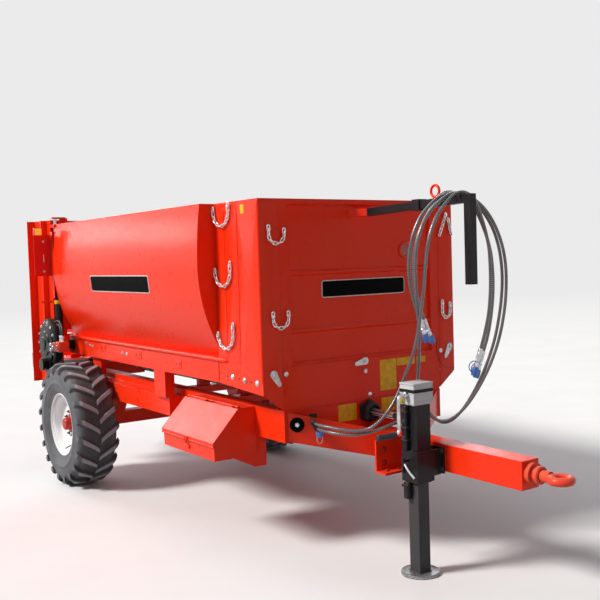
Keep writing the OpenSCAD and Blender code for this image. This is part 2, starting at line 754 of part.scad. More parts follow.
// Tyre: carcass open towards the rim, with slanted lugs in two staggered rows
carcass_r = tyre_r - lug_h;
tyre_half = tyre_w / 2;
module carcass_profile() {
    bead = rim_w / 2 - seat;
    lip = rim_r + rim_flange_h + 1;
    polygon([[rim_r, -bead], [lip, -bead], [rim_r + 42, -rim_w / 2 - 8], [rim_r + 90, -tyre_half + 4],
        [carcass_r - 55, -tyre_half + 4], [carcass_r - 18, -tyre_half + 20], [carcass_r, -tyre_half + 60],
        [carcass_r, tyre_half - 60], [carcass_r - 18, tyre_half - 20], [carcass_r - 55, tyre_half - 4],
        [rim_r + 90, tyre_half - 4], [rim_r + 42, rim_w / 2 + 8], [lip, bead], [rim_r, bead],
        [rim_r, rim_w / 2 - 26], [rim_r + 60, rim_w / 2 - 10], [carcass_r - 45, tyre_half - 26],
        [carcass_r - 22, tyre_half - 50], [carcass_r - 22, -tyre_half + 50],
        [carcass_r - 45, -tyre_half + 26],
        [rim_r + 60, -rim_w / 2 + 10], [rim_r, -rim_w / 2 + 26]]);
}

// Outline of one lug on the tread, in length round the tyre and width across it
module lug_outline() {
    polygon([[-24, 4], [10, 4], [38, 50], [74, 96], [92, 126], [96, tyre_half], [62, tyre_half],
        [58, 128], [42, 106], [6, 60]]);
}

// Draws round the wheel's middle, with the outside of the machine towards positive Y
module at_wheel(left) {
    placed() translate([-axle_back, left ? wheel_y : -wheel_y, tyre_r]) on_side(left) children();
}

module tyre(left) {
    step = 360 / lug_count;
    color([0.16, 0.16, 0.17]) at_wheel(left) {
        revolve_y() carcass_profile();
        intersection() {
            for (i = [0:lug_count - 1]) for (half = [0, 1])
                rotate([0, (i + half / 2) * step, 0]) mirror([0, half, 0])
                    translate([0, 0, carcass_r - 60]) linear_extrude(lug_h + 80) lug_outline();
            revolve_y() polygon([
                [carcass_r - 50, -tyre_half], [tyre_r - 32, -tyre_half], [tyre_r - 4, -tyre_half + 24],
                [tyre_r, -tyre_half + 50], [tyre_r, tyre_half - 50], [tyre_r - 4, tyre_half - 24],
                [tyre_r - 32, tyre_half], [carcass_r - 50, tyre_half], [carcass_r - 30, tyre_half - 22],
                [carcass_r - 12, 0], [carcass_r - 30, -tyre_half + 22]]);
        }
    }
}

rim_t = 6;
disc_y = 40;
hub_r = 62;
module rim(left) {
    out = rim_w / 2;
    color([0.85, 0.85, 0.87]) at_wheel(left)
        difference() {
            revolve_y() union() {
                polygon([[rim_r - rim_t, -out - rim_t], [rim_r + rim_flange_h, -out - rim_t],
                    [rim_r + rim_flange_h, -out], [rim_r - seat, -out], [rim_r - seat, out],
                    [rim_r + rim_flange_h, out], [rim_r + rim_flange_h, out + rim_t],
                    [rim_r - rim_t, out + rim_t]]);
                polygon([
                    [hub_r + 2, disc_y], [110, disc_y], [150, disc_y + 30], [rim_r - rim_t / 2, disc_y + 36],
                    [rim_r - rim_t / 2, disc_y + 44], [147, disc_y + 38], [107, disc_y + 8],
                    [hub_r + 2, disc_y + 8]]);
            }
            for (a = [0:60:300]) rotate([0, a, 0]) rod_y(140, 0, 21, 0, 120);
        }
}

module hub(left) {
    color("red") at_wheel(left)
        revolve_y() polygon([[spindle_r + running, -80], [55, -80], [55, disc_y - 14], [100, disc_y - 14],
            [100, disc_y - seat], [hub_r, disc_y - seat], [hub_r, disc_y + 14], [46, disc_y + 18],
            [42, disc_y + 52], [36, disc_y + 58], [0, disc_y + 58], [0, disc_y + 6],
            [spindle_r + running, disc_y + 6]]);
}

// Toolbox in Y and Z, hung on the outside of the right rail, with a sloping lid
lid_top = [646, 746];
lid_low = [800, 588];
box_z0 = 487;
lid_slope = atan2(lid_top[1] - lid_low[1], lid_low[0] - lid_top[0]);
lid_run = norm(lid_top - lid_low);
lid_pin = [lid_top[0] - 10, lid_top[1] + 6.5];
module toolbox() {
    x1 = -box_back;
    x0 = x1 - box_len;
    color(paint) placed() on_side(false) {
        difference() {
            along_x(x0, x1) polygon([[rail_out + seat, box_z0], [lid_low[0] - 4, box_z0], lid_low, lid_top,
                [rail_out + seat, lid_top[1]]]);
            along_x(x0 + box_t, x1 - box_t) polygon([
                [rail_out + seat + box_t, box_z0 + box_t], [lid_low[0] - 4 - box_t, box_z0 + box_t],
                [lid_low[0] - box_t, lid_low[1] - 8], [lid_low[0] - box_t, lid_low[1] + 30],
                [lid_top[0], lid_top[1] + 30], [lid_top[0] - 8, lid_top[1] - box_t],
                [rail_out + seat + box_t, lid_top[1] - box_t]]);
        }
        // Hinge pin with the box's own barrels
        rod_x(lid_pin[0], lid_pin[1], 3.5, x0 + 20, x1 - 20);
        for (x = [x0 + 10, (x0 + x1) / 2 - 15, x1 - 40]) {
            rod_x(lid_pin[0], lid_pin[1], 6, x, x + 30);
            block([x, lid_pin[0] - 6, lid_top[1] - 1], [x + 30, lid_pin[0], lid_pin[1]]);
        }
    }
}

module toolbox_lid() {
    x1 = -box_back + 6;
    x0 = -box_back - box_len - 6;
    color([1, 0.4, 0.3]) placed() on_side(false) {
        translate([0, lid_top[0], lid_top[1]]) rotate([-lid_slope, 0, 0])
            block([x0, 4, 0.5], [x1, lid_run + 10, 0.5 + box_t]);
        // Front lip over the box's edge
        block([x0, lid_low[0] + 4, lid_low[1] - 26], [x1, lid_low[0] + 4 + box_t, lid_low[1] - 4]);
        difference() {
            for (x = [x0 + 50, x1 - 250]) {
                rod_x(lid_pin[0], lid_pin[1], 6, x, x + 190);
                translate([0, lid_pin[0], lid_pin[1]]) rotate([-lid_slope / 2, 0, 0])
                    block([x, 4.5, -3], [x + 190, 16, 3]);
            }
            rod_x(lid_pin[0], lid_pin[1], 3.5 + running, x0, x1);
        }
    }
}

jack_x = 578;
jack_y = -172;
clamp_z0 = 450;
clamp_z1 = 600;
module square_tube(outer, inner, z0, z1) {
    difference() {
        translate([-outer / 2, -outer / 2, z0]) cube([outer, outer, z1 - z0]);
        translate([-inner / 2, -inner / 2, z0 - eps]) cube([inner, inner, z1 - z0 + 2 * eps]);
    }
}

module jack_tube() {
    color([0.2, 0.2, 0.2]) placed() translate([jack_x, jack_y, 0])
        {
            square_tube(jack_side, jack_side - 12, clamp_z0 - 6, jack_top);
            // Guide ring for the leg
            square_tube(jack_side - 6, leg_side + 2 * seat, clamp_z0 - 6, clamp_z0 + 14);
        }
}

module jack_leg() {
    color([0.35, 0.35, 0.36]) placed() translate([jack_x, jack_y, 0]) {
        square_tube(leg_side, leg_side - 10, 12, jack_top - jack_lift - 12);
        cylinder(r = foot_d / 2, h = 12);
    }
}

// Gear head on the tube, longer across the machine than along it
head_x = 96;
head_y = 122;
head_h = 100;
module jack_head() {
    color([0.7, 0.7, 0.7]) placed() translate([jack_x - head_x / 2, jack_y - head_y / 2, jack_top])
        cube([head_x, head_y, head_h]);
}

crank_z = 868;
module jack_crank() {
    y0 = jack_y - head_y / 2;
    color("silver") placed() {
        rod_y(jack_x, crank_z, 12, y0 - 48, y0);
        block([jack_x - 10, y0 - 58, crank_z - 168], [jack_x + 10, y0 - 48, crank_z + 14]);
        rod_y(jack_x, crank_z - 154, 9, y0 - 190, y0 - 58);
        rod_y(jack_x, crank_z - 154, 15, y0 - 188, y0 - 72);
    }
}

module jack_clamp() {
    color([0.15, 0.15, 0.15]) placed() {
        translate([jack_x, jack_y, 0]) square_tube(jack_side + 20, jack_side, clamp_z0, clamp_z1);
        web = jack_y + jack_side / 2 + 10;
        block([jack_x + 20, web, clamp_z0 + 20], [jack_x + 44, -beam_in - 10, clamp_z1 - 8]);
        block([jack_x - 40, -beam_in - 10, drawbar_z - 10],
            [jack_x + 62, -beam_in, drawbar_z + drawbar_h - 15]);
        // Locking pin with its bent handle
        rod_y(jack_x - 8, 555, 8, jack_y - jack_side / 2 - 40, jack_y - jack_side / 2 - 10);
        block([jack_x - 14, jack_y - jack_side / 2 - 48, 500],
            [jack_x - 2, jack_y - jack_side / 2 - 36, 565]);
    }
}

// Boom that carries the hoses: it rises a little from the bracket on the front wall to its end
boom_z = 1780;
boom_rise = 22;
boom_root = 64;
boom_drop_z = 1380;
boom_clamp_x = 420;
boom_clamp_l = 50;
boom_clamp_t = 8;
module hose_boom() {
    half = boom_side / 2;
    root_z = boom_z - boom_rise;
    clamp_z = root_z + boom_rise * boom_clamp_x / boom_reach;
    color([0.12, 0.12, 0.12]) placed() {
        along_y(-half, half) polygon([
            [boom_root + seat, root_z - half], [boom_reach, boom_z - half],
            [boom_reach, boom_z + half], [boom_root + seat, root_z + half]]);
        block([boom_reach - boom_side, -half, boom_drop_z], [boom_reach, half, boom_z - half + 2]);
        block([boom_clamp_x, -half - boom_clamp_t, clamp_z - half - boom_clamp_t],
            [boom_clamp_x + boom_clamp_l, half + boom_clamp_t, clamp_z + half + boom_clamp_t]);
    }
}

board_x = post_front;
board_top = rear_top - 110;
board_h = 302;
board_over = 34;
marker_h = 48;
marker_w = 50;
marker_d = 28;
module lamp_boards() {
    color("darkred") placed() for (left = [false, true]) on_side(left)
        block([board_x, post_in - 10, board_top - board_h],
            [board_x + sheet_t, flange_half + board_over, board_top]);
}

module marker_lamps() {
    color("orange") placed() for (left = [false, true]) on_side(left)
        translate([board_x - 2, flange_half + board_over - 4 - marker_w, board_top + seat])
            cube([marker_d, marker_w, marker_h - seat]);
}

lamp_d = 34;
lamp_w = 140;
lamp_h = 100;
module rear_lamps() {
    color("red") placed() for (left = [false, true]) on_side(left)
        translate([post_rear - lamp_d, flange_half - 10 - lamp_w, rear_foot + 110])
            cube([lamp_d - seat, lamp_w, lamp_h]);
}

// Lifting ring that stands on a foot on the front wall's top edge
ring_r = 33;
ring_rod = 8;
ring_h = 58;
module lifting_ring() {
    ring_y = panel_y - corner_w + 6;
    color("orangered") placed() translate([-12, ring_y, body_top + ring_h]) rotate([90, 0, 0]) {
        rotate_extrude() translate([ring_r, 0]) circle(r = ring_rod);
        translate([-12, -ring_h, -7]) cube([24, ring_h - ring_r, 14]);
    }
}

// Cam levers on the front wall: y, z and turn of the lever
lever_table = [[-590, 935, 30], [-25, 950, -120], [605, 1000, -30]];
module cam_levers() {
    color("lightgray") placed() for (lever = lever_table)
        translate([0, lever[0], lever[1]]) rotate([90, 0, 90]) rotate([0, 0, lever[2]]) {
            cylinder(r = 19, h = 10);
            translate([-12, -62, 0]) cube([24, 62, 8]);
            translate([0, -62, 0]) cylinder(r = 12, h = 8);
        }
}

// Chains that hang across the seams of the plates: flat links, every second one turned
link_pitch = 24;
link_rod = 5.5;
link_hole = 9;
chain_off = 13;
peg_r = 4;
peg_top = 20;
chain_x = -342;
side_chain_r = 78;
corner_chain_r = 46;
loop_chain_r = 38;

module link_outline(width) {
    arc_x = (link_pitch - link_hole) / 2;
    square([2 * arc_x, width], center = true);
    for (side = [-1, 1]) translate([side * arc_x, 0]) circle(r = width / 2);
}

module chain_link() {
    translate([0, 0, -link_rod / 2]) linear_extrude(link_rod) difference() {
        link_outline(link_hole + 2 * link_rod);
        link_outline(link_hole);
    }
}

// Peg on the plate that holds the end of a chain, with a flat head
module peg() {
    translate([0, 0, -chain_off]) cylinder(r = peg_r, h = peg_top);
    translate([0, 0, peg_top - chain_off - 3]) cylinder(r = peg_r + 3, h = 3);
}

// Place and turn at a length s from the lowest point of a half circle with two upright arms
function hang_at(s, r) = abs(s) <= r * PI / 2
    ? [r * sin(s / r * 180 / PI), -r * cos(s / r * 180 / PI)]
    : [sign(s) * r, abs(s) - r * PI / 2];
function hang_turn(s, r) = abs(s) <= r * PI / 2 ? s / r * 180 / PI : sign(s) * 90;

module hanging_chain(spot, r, count, shift) {
    first = shift - (count - 1) / 2 * link_pitch;
    last = shift + (count - 1) / 2 * link_pitch;
    reach = link_pitch / 2 - peg_r + 0.5;
    translate([spot[0], spot[1], 0]) {
        for (i = [0:count - 1]) {
            s = first + i * link_pitch;
            at = hang_at(s, r);
            translate([at[0], at[1], 0]) rotate([0, 0, hang_turn(s, r)]) rotate([i % 2 * 90, 0, 0])
                chain_link();
        }
        for (end = [[first, -reach], [last, reach]]) {
            at = hang_at(end[0], r);
            translate([at[0], at[1], 0]) rotate([0, 0, hang_turn(end[0], r)]) translate([end[1], 0, 0]) peg();
        }
    }
}

// Straight chain that hangs from a peg, leaning by an angle
module leaning_chain(spot, count, lean) {
    translate([spot[0], spot[1], 0]) rotate([0, 0, lean - 90]) {
        peg();
        for (i = [0:count - 1]) translate([(i + 0.5) * link_pitch - peg_r + 0.5, 0, 0])
            rotate([i % 2 * 90, 0, 0]) chain_link();
    }
}

module seam_chains() {
    color("silver") placed() {
        for (side = [0, 1]) mirror([0, side, 0]) translate([0, -panel_y - chain_off, 0]) rotate([90, 0, 0]) {
            hanging_chain([chain_x, body_top - 45], side_chain_r, 13, 9);
            hanging_chain([chain_x, body_top - 360], side_chain_r, 13, 17);
            hanging_chain([chain_x + 10, body_top - 689], side_chain_r, 13, 26);
        }
        translate([chain_off, 0, 0]) rotate([90, 0, 90]) {
            hanging_chain([-panel_y + 98, body_top - 179], corner_chain_r, 9, -8);
            hanging_chain([-panel_y + 110, body_top - 604], corner_chain_r, 9, 0);
            hanging_chain([panel_y - 68, body_top - 630], loop_chain_r, 9, -8);
            leaning_chain([panel_y - 55, body_top - 74], 6, -24);
            leaning_chain([panel_y - 38, body_top - 104], 4, 14);
        }
    }
}

// Hose routes from the gland to the coupling, chosen by hand along the hang of each hose
route_p1 = [
    [89, -431, 697], [101, -439, 697], [137, -448, 697], [204, -443, 694], [279, -415, 687], [343, -371, 681],
    [389, -324, 689], [432, -291, 723], [467, -255, 779], [483, -212, 847], [492, -184, 909],
    [518, -181, 962], [564, -199, 1010], [608, -209, 1076], [643, -213, 1164], [679, -225, 1263],
    [705, -231, 1363], [722, -231, 1467], [731, -223, 1563], [736, -198, 1644], [737, -152, 1715],
    [737, -90, 1774], [737, -34, 1806], [737, 20, 1809], [737, 68, 1786], [737, 106, 1733],
    [736, 146, 1645], [734, 175, 1552], [730, 187, 1452], [726, 189, 1345], [720, 182, 1240],
    [710, 162, 1139], [698, 131, 1030]];
route_p2 = [
    [97, -419, 671], [109, -427, 671], [148, -438, 670], [218, -432, 666], [292, -403, 661], [351, -354, 661],
    [396, -289, 675], [450, -232, 705], [484, -180, 736], [491, -133, 785], [494, -100, 851],
    [504, -94, 920], [535, -114, 994], [584, -153, 1085], [628, -192, 1181], [663, -231, 1279],
    [686, -259, 1375], [698, -271, 1472], [705, -265, 1564], [708, -237, 1646], [709, -187, 1716],
    [709, -117, 1770], [709, -45, 1804], [709, 17, 1809], [709, 72, 1783], [709, 123, 1722],
    [709, 175, 1633], [708, 212, 1540], [705, 230, 1440], [701, 234, 1333], [695, 225, 1223],
    [687, 205, 1117], [676, 171, 1013]];
route_q1 = [
    [24, 215, 705], [39, 215, 705], [106, 221, 709], [182, 225, 696], [256, 222, 666], [316, 224, 648],
    [365, 239, 654], [408, 265, 684], [450, 298, 739], [488, 334, 815], [522, 367, 901], [550, 394, 991],
    [573, 414, 1085], [590, 427, 1182], [605, 431, 1280], [617, 426, 1375], [629, 409, 1466],
    [638, 380, 1550], [646, 337, 1628], [651, 283, 1698], [655, 221, 1752], [655, 151, 1791],
    [651, 77, 1811], [647, 7, 1813], [643, -56, 1794], [637, -115, 1753], [630, -168, 1698],
    [622, -204, 1628], [614, -224, 1551], [606, -227, 1468], [598, -212, 1383], [592, -182, 1295],
    [586, -139, 1201]];
route_q2 = [[24, 252, 712], [39, 252, 712], [99, 256, 706], [180, 258, 684], [254, 252, 652], [310, 249, 636],
    [356, 259, 645], [394, 280, 677], [431, 310, 735], [467, 342, 816], [499, 371, 905], [526, 395, 998],
    [548, 413, 1093], [565, 424, 1190], [580, 428, 1287], [593, 423, 1382], [604, 406, 1471],
    [613, 378, 1555], [621, 337, 1631], [626, 284, 1698], [629, 222, 1752], [628, 148, 1793],
    [624, 72, 1815], [621, 17, 1820], [616, -28, 1801], [610, -68, 1755], [601, -117, 1682],
    [592, -153, 1606], [583, -170, 1529], [574, -168, 1447], [566, -152, 1362], [559, -121, 1276],
    [554, -76, 1186]];
nose_turn = atan2(rail_out - 40 - drawbar_w / 2, nose_len);
gland_len = 24;
gland_r = 13;
// First point of each hose and the turn of its gland from straight ahead
gland_list = [
    [route_p1[0], nose_turn - 90], [route_p2[0], nose_turn - 90],
    [route_q1[0], 0], [route_q2[0], 0]];

function unit(v) = v / norm(v);
function along(route, i) = unit(route[min(i + 1, len(route) - 1)] - route[max(i - 1, 0)]);
// Ring of eight corners square to the route at one of its points
function hose_ring(route, i) = let (
    t = along(route, i), side = unit(cross(abs(t[0]) > 0.9 ? [0, 1, 0] : [1, 0, 0], t)), up = cross(t, side))
    [for (k = [0:7]) route[i] + hose_d / 2 * (cos(45 * k) * side + sin(45 * k) * up)];
module hose(route) {
    n = len(route);
    points = [for (i = [0:n - 1]) each hose_ring(route, i)];
    sides = [for (i = [0:n - 2]) for (k = [0:7]) let (a = 8 * i + k, b = 8 * i + (k + 1) % 8)
        each [[a, b + 8, b], [a, a + 8, b + 8]]];
    ends = [[for (k = [0:7]) k], [for (k = [7:-1:0]) 8 * (n - 1) + k]];
    color([0.3, 0.3, 0.32]) placed() polyhedron(points, concat(sides, ends));
}

module hose_glands() {
    color("black") placed() for (gland = gland_list)
        translate(gland[0]) rotate([0, -90, gland[1]]) cylinder(r = gland_r, h = gland_len - seat);
}

// Coupling in line with the hose's end: sleeve, grip and cap
module coupling(route) {
    last = route[len(route) - 1];
    t = along(route, len(route) - 1);
    turn_z = atan2(t[1], t[0]);
    turn_y = acos(t[2]);
    placed() translate(last) rotate([0, turn_y, turn_z]) {
        color("silver") cylinder(r = 12, h = 60);
        color("blue") translate([0, 0, 60]) cylinder(r = 16, h = 42);
    }
}

module couplings_p() {
    coupling(route_p1);
    coupling(route_p2);
}

module couplings_q() {
    coupling(route_q1);
    coupling(route_q2);
}

chassis_frame();
drawbar();
tow_eye();
axle();
tyre(false);  // tyre_right
tyre(true);  // tyre_left
rim(false);  // rim_right
rim(true);  // rim_left
hub(false);  // hub_right
hub(true);  // hub_left
hopper_floor();
sill(false);  // sill_right
sill(true);  // sill_left
side_wall(false);  // side_wall_right
side_wall(true);  // side_wall_left
front_corner(false);  // front_corner_right
front_corner(true);  // front_corner_left
front_wall();
front_apron();
conveyor();
conveyor_drive();
rear_frame();
gate();
gate_rods();
gate_cylinders();
beater_rotor(false);  // beater_rotor_right
beater_rotor(true);  // beater_rotor_left
beater_flights(false);  // beater_flights_right
beater_flights(true);  // beater_flights_left
beater_gearbox();
drive_shaft();
pto_guard();
toolbox();
toolbox_lid();
jack_tube();
jack_head();
jack_crank();
jack_clamp();
jack_leg();
hose_boom();
lamp_boards();
marker_lamps();
rear_lamps();
lifting_ring();
cam_levers();
seam_chains();
hose_glands();
hose(route_p1);  // hose_p1
hose(route_p2);  // hose_p2
hose(route_q1);  // hose_q1
hose(route_q2);  // hose_q2
couplings_p();
couplings_q();
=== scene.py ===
"""Looks of the trailed fertilizer spreader: finishes, hoses, tyres and small fittings over the fixed frame.

Every length is in metres in the row frame: +X towards the towing eye, +Y to the machine's left, +Z up.
"""
import logging
import math
from dataclasses import dataclass, field
from enum import Enum
from typing import Iterable, Optional, Sequence

import bpy
import numpy as np
from mathutils import Matrix, Vector
from numpy.typing import NDArray


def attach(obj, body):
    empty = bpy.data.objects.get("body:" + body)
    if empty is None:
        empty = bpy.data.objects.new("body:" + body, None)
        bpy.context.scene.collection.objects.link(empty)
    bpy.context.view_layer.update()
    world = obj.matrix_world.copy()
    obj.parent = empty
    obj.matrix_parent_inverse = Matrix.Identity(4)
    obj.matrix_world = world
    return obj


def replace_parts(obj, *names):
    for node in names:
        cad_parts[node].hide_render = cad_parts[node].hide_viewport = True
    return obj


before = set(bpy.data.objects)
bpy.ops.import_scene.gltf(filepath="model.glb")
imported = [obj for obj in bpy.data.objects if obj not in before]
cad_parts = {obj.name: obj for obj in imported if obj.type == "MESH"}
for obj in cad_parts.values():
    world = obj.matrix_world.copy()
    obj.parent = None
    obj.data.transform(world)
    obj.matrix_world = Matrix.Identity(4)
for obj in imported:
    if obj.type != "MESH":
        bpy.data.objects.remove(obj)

LOG = logging.getLogger("spreader")
Array = NDArray[np.float64]
Corners = NDArray[np.int64]
Colour = tuple[float, float, float]
Point = tuple[float, float, float]
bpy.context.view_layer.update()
ROW_FRONT = 1.018  # X of the hopper's front plate
TAU = 2.0 * math.pi


# ---------------------------------------------------------------- surfaces


@dataclass
class Shell:
    """A surface as points, four-cornered faces and one UV pair for each point.

    Attributes:
        points: One row of X, Y, Z for each point.
        quads: One row of four point numbers for each face, anticlockwise seen from outside.
        uv: One row of U, V for each point, in metres along the surface where a pattern follows it.
        closed: True where the surface encloses a volume, so that it can be turned outwards.
    """

    points: Array
    quads: Corners
    uv: Array
    closed: bool = True

    def moved(self, offset: Sequence[float]) -> "Shell":
        """Return a copy shifted by offset."""
        return Shell(self.points + np.asarray(offset, float), self.quads, self.uv, self.closed)

    def placed(self, origin: Sequence[float], x_axis: Sequence[float], z_axis: Sequence[float]) -> "Shell":
        """Return a copy whose own X and Z run along two given directions from an origin.

        The third axis is the cross product of Z and X, so the copy is turned, never mirrored.

        Args:
            origin: Where the shell's own zero goes.
            x_axis: Direction of its own X.
            z_axis: Direction of its own Z.

        Returns:
            The placed shell.
        """
        z = unit(np.asarray(z_axis, float))
        x = np.asarray(x_axis, float)
        x = unit(x - z * (x @ z))
        axes = np.array([x, np.cross(z, x), z])
        return Shell(self.points @ axes + np.asarray(origin, float), self.quads, self.uv, self.closed)

    def mirrored(self) -> "Shell":
        """Return a copy on the machine's other side, with Y and the faces' turn reversed."""
        return Shell(self.points * np.array([1.0, -1.0, 1.0]), self.quads[:, ::-1], self.uv, self.closed)

    def outward(self) -> "Shell":
        """Return the shell with its faces turned outwards, judged by the sign of its volume.

        The volume is the sum, over the two triangles of each face, of the corner a dotted with
        the cross product of b and c, divided by six.
        """
        if not self.closed:
            return self
        corner = self.points[self.quads] - self.points.mean(axis=0)
        a, b, c, d = (corner[:, i] for i in range(4))
        volume = np.einsum("ij,ij->", a, np.cross(b, c)) + np.einsum("ij,ij->", a, np.cross(c, d))
        if volume >= 0.0:
            return self
        return Shell(self.points, self.quads[:, ::-1], self.uv, self.closed)


def unit(vector: Array) -> Array:
    """Return the vector, or each row of it, divided by its length."""
    return vector / np.maximum(np.linalg.norm(vector, axis=-1, keepdims=True), 1e-12)


def grid(surface: Array, uv: Optional[Array] = None, closed: bool = True) -> Shell:
    """Turn a grid of points, whose two indices are the two parameters, into a shell.

    Args:
        surface: Array of rows by columns by three; a closed way round repeats its first line at the end.
        uv: Array of rows by columns by two, or None for the plain row and column shares.
        closed: Whether the surface encloses a volume once its seams are welded.

    Returns:
        The shell, with rows * columns points.
    """
    rows, columns = surface.shape[:2]
    number = np.arange(rows * columns).reshape(rows, columns)
    quads = np.stack([number[:-1, :-1], number[1:, :-1], number[1:, 1:], number[:-1, 1:]], axis=-1)
    if uv is None:
        share = np.meshgrid(np.linspace(0, 1, rows), np.linspace(0, 1, columns), indexing="ij")
        uv = np.stack(share, axis=-1)
    return Shell(surface.reshape(-1, 3), quads.reshape(-1, 4), uv.reshape(-1, 2), closed)


def many(surfaces: Array, closed: bool = True) -> Shell:
    """Turn a stack of like grids (pieces by rows by columns by three) into one shell."""
    pieces, rows, columns = surfaces.shape[:3]
    one = grid(surfaces[0], closed=closed)
    shift = (np.arange(pieces) * rows * columns)[:, None, None]
    quads = (one.quads[None] + shift).reshape(-1, 4)
    return Shell(surfaces.reshape(-1, 3), quads, np.tile(one.uv, (pieces, 1)), closed)


def smooth_path(points: Sequence[Sequence[float]], per_span: int = 6) -> Array:
    """Run a Catmull-Rom curve through points: each span is a cubic in its share t of the way.

    Args:
        points: The points that the curve passes through.
        per_span: Samples on each span.

    Returns:
        The samples, first and last point included.
    """
    p = np.asarray(points, float)
    ends = np.vstack([2 * p[0] - p[1], p, 2 * p[-1] - p[-2]])
    t = np.linspace(0, 1, per_span, endpoint=False)[None, :, None]
    a, b, c, d = (ends[i:len(ends) - 3 + i, None, :] for i in range(4))
    curve = 0.5 * (2 * b + (c - a) * t + (2 * a - 5 * b + 4 * c - d) * t ** 2 + (3 * b - a - 3 * c + d) * t ** 3)
    return np.vstack([curve.reshape(-1, 3), p[-1:]])


def path_frames(path: Array, hint: Sequence[float] = (0.0, 0.0, 1.0)) -> tuple[Array, Array, Array]:
    """Give each point of a path its direction and two directions across it.

    The first cross direction is carried from point to point and freed of its part along the
    path, so the tube doesn't twist.

    Args:
        path: Points along the path.
        hint: A direction that isn't along the path's start.

    Returns:
        Directions along, across and over, one row for each point.
    """
    along = unit(np.gradient(path, axis=0))
    across = np.zeros_like(path)
    side = np.cross(np.asarray(hint, float), along[0])
    if np.linalg.norm(side) < 1e-3:
        side = np.cross((1.0, 0.0, 0.0), along[0])
    for i, direction in enumerate(along):
        side = side - direction * (side @ direction)
        side = side / np.linalg.norm(side)
        across[i] = side
    return along, across, np.cross(along, across)


def sweep(path: Array, profile: Array, scale: Optional[Array] = None, hint: Sequence[float] = (0.0, 0.0, 1.0),
          ends: bool = True, ring: bool = False) -> Shell:
    """Carry a closed profile along a path: point = path + across * profile x + over * profile y.

    Args:
        path: Points along the path.
        profile: Closed outline in two columns, its first point repeated at the end.
        scale: Size of the profile at each point of the path, or None.
        hint: A direction that isn't along the path's start.
        ends: Whether the two ends are closed to a point.
        ring: Whether the path closes on itself, its first point repeated at the end.

    Returns:
        The swept shell, with U round the profile and V along the path, in metres.
    """
    along, across, over = path_frames(path, hint)
    if ring:
        first = unit(path[1] - path[-2])
        along[0] = along[-1] = first
        across[-1] = across[0]
        over[-1] = over[0]
    size = np.ones(len(path)) if scale is None else np.asarray(scale, float)
    flat = profile[None] * size[:, None, None]
    body = path[:, None] + across[:, None] * flat[..., :1] + over[:, None] * flat[..., 1:2]
    v = np.concatenate([[0.0], np.cumsum(np.linalg.norm(np.diff(path, axis=0), axis=1))])
    u = np.concatenate([[0.0], np.cumsum(np.linalg.norm(np.diff(profile, axis=0), axis=1))])
    if ends and not ring:
        first, last = (np.repeat(path[i][None, None], len(profile), axis=1) for i in (0, -1))
        body = np.vstack([first, body, last])
        v = np.concatenate([v[:1], v, v[-1:]])
    uv = np.stack(np.meshgrid(v, u, indexing="ij")[::-1], axis=-1)
    return grid(body, uv, closed=ends or ring)


def circle(radius: float, sides: int = 16) -> Array:
    """Return a closed circle of that radius in two columns: radius times cosine and sine."""
    turn = np.linspace(0, TAU, sides + 1)
    return radius * np.stack([np.cos(turn), np.sin(turn)], axis=1)


def rounded_box(width: float, height: float, corner: float, steps: int = 4) -> Array:
    """Return a closed rectangle with round corners, centred on zero, in two columns.

    Each corner is a quarter turn of radius corner about a point that far inside both sides.
    """
    turn = np.linspace(0, math.pi / 2, steps + 1)
    quarter = np.stack([np.cos(turn), np.sin(turn)], axis=1) * corner
    inner = np.array([width / 2 - corner, height / 2 - corner])
    spots = np.array([[1, 1], [-1, 1], [-1, -1], [1, -1]]) * inner
    turns = [np.array([[0, 1], [-1, 0]]), np.array([[-1, 0], [0, -1]]), np.array([[0, -1], [1, 0]])]
    arcs = [quarter] + [quarter @ t for t in turns]
    outline = np.vstack([arc + spot for arc, spot in zip(arcs, spots)])
    return np.vstack([outline, outline[:1]])


def tube(points: Array, radius: float, sides: int = 12, hint: Sequence[float] = (0.0, 0.0, 1.0)) -> Shell:
    """Return a round rod along the points."""
    return sweep(points, circle(radius, sides), hint=hint)


def lathe(profile: Sequence[Sequence[float]], sides: int = 32, turn_by: float = 0.0) -> Shell:
    """Turn a profile of radius and height round Z: x = r cos a, y = r sin a, z = h.

    Args:
        profile: Radius and height pairs; radius 0 at both ends closes the shell.
        sides: Faces round the axis; 6 gives a nut.
        turn_by: Angle of the first corner, in radians.

    Returns:
        The turned shell, standing on its own Z.
    """
    line = np.asarray(profile, float)
    turn = np.linspace(0, TAU, sides + 1) + turn_by
    x = line[:, :1] * np.cos(turn)[None]
    y = line[:, :1] * np.sin(turn)[None]
    z = np.repeat(line[:, 1:], sides + 1, axis=1)
    run = np.concatenate([[0.0], np.cumsum(np.linalg.norm(np.diff(line, axis=0), axis=1))])
    mean = max(float(line[:, 0].max()), 1e-4)
    uv = np.stack(np.meshgrid(run, turn * mean, indexing="ij")[::-1], axis=-1)
    loop = bool(np.allclose(line[0], line[-1]))
    ends = line[0, 0] < 1e-9 and line[-1, 0] < 1e-9
    return grid(np.stack([x, y, z], axis=-1), uv, closed=ends or loop)


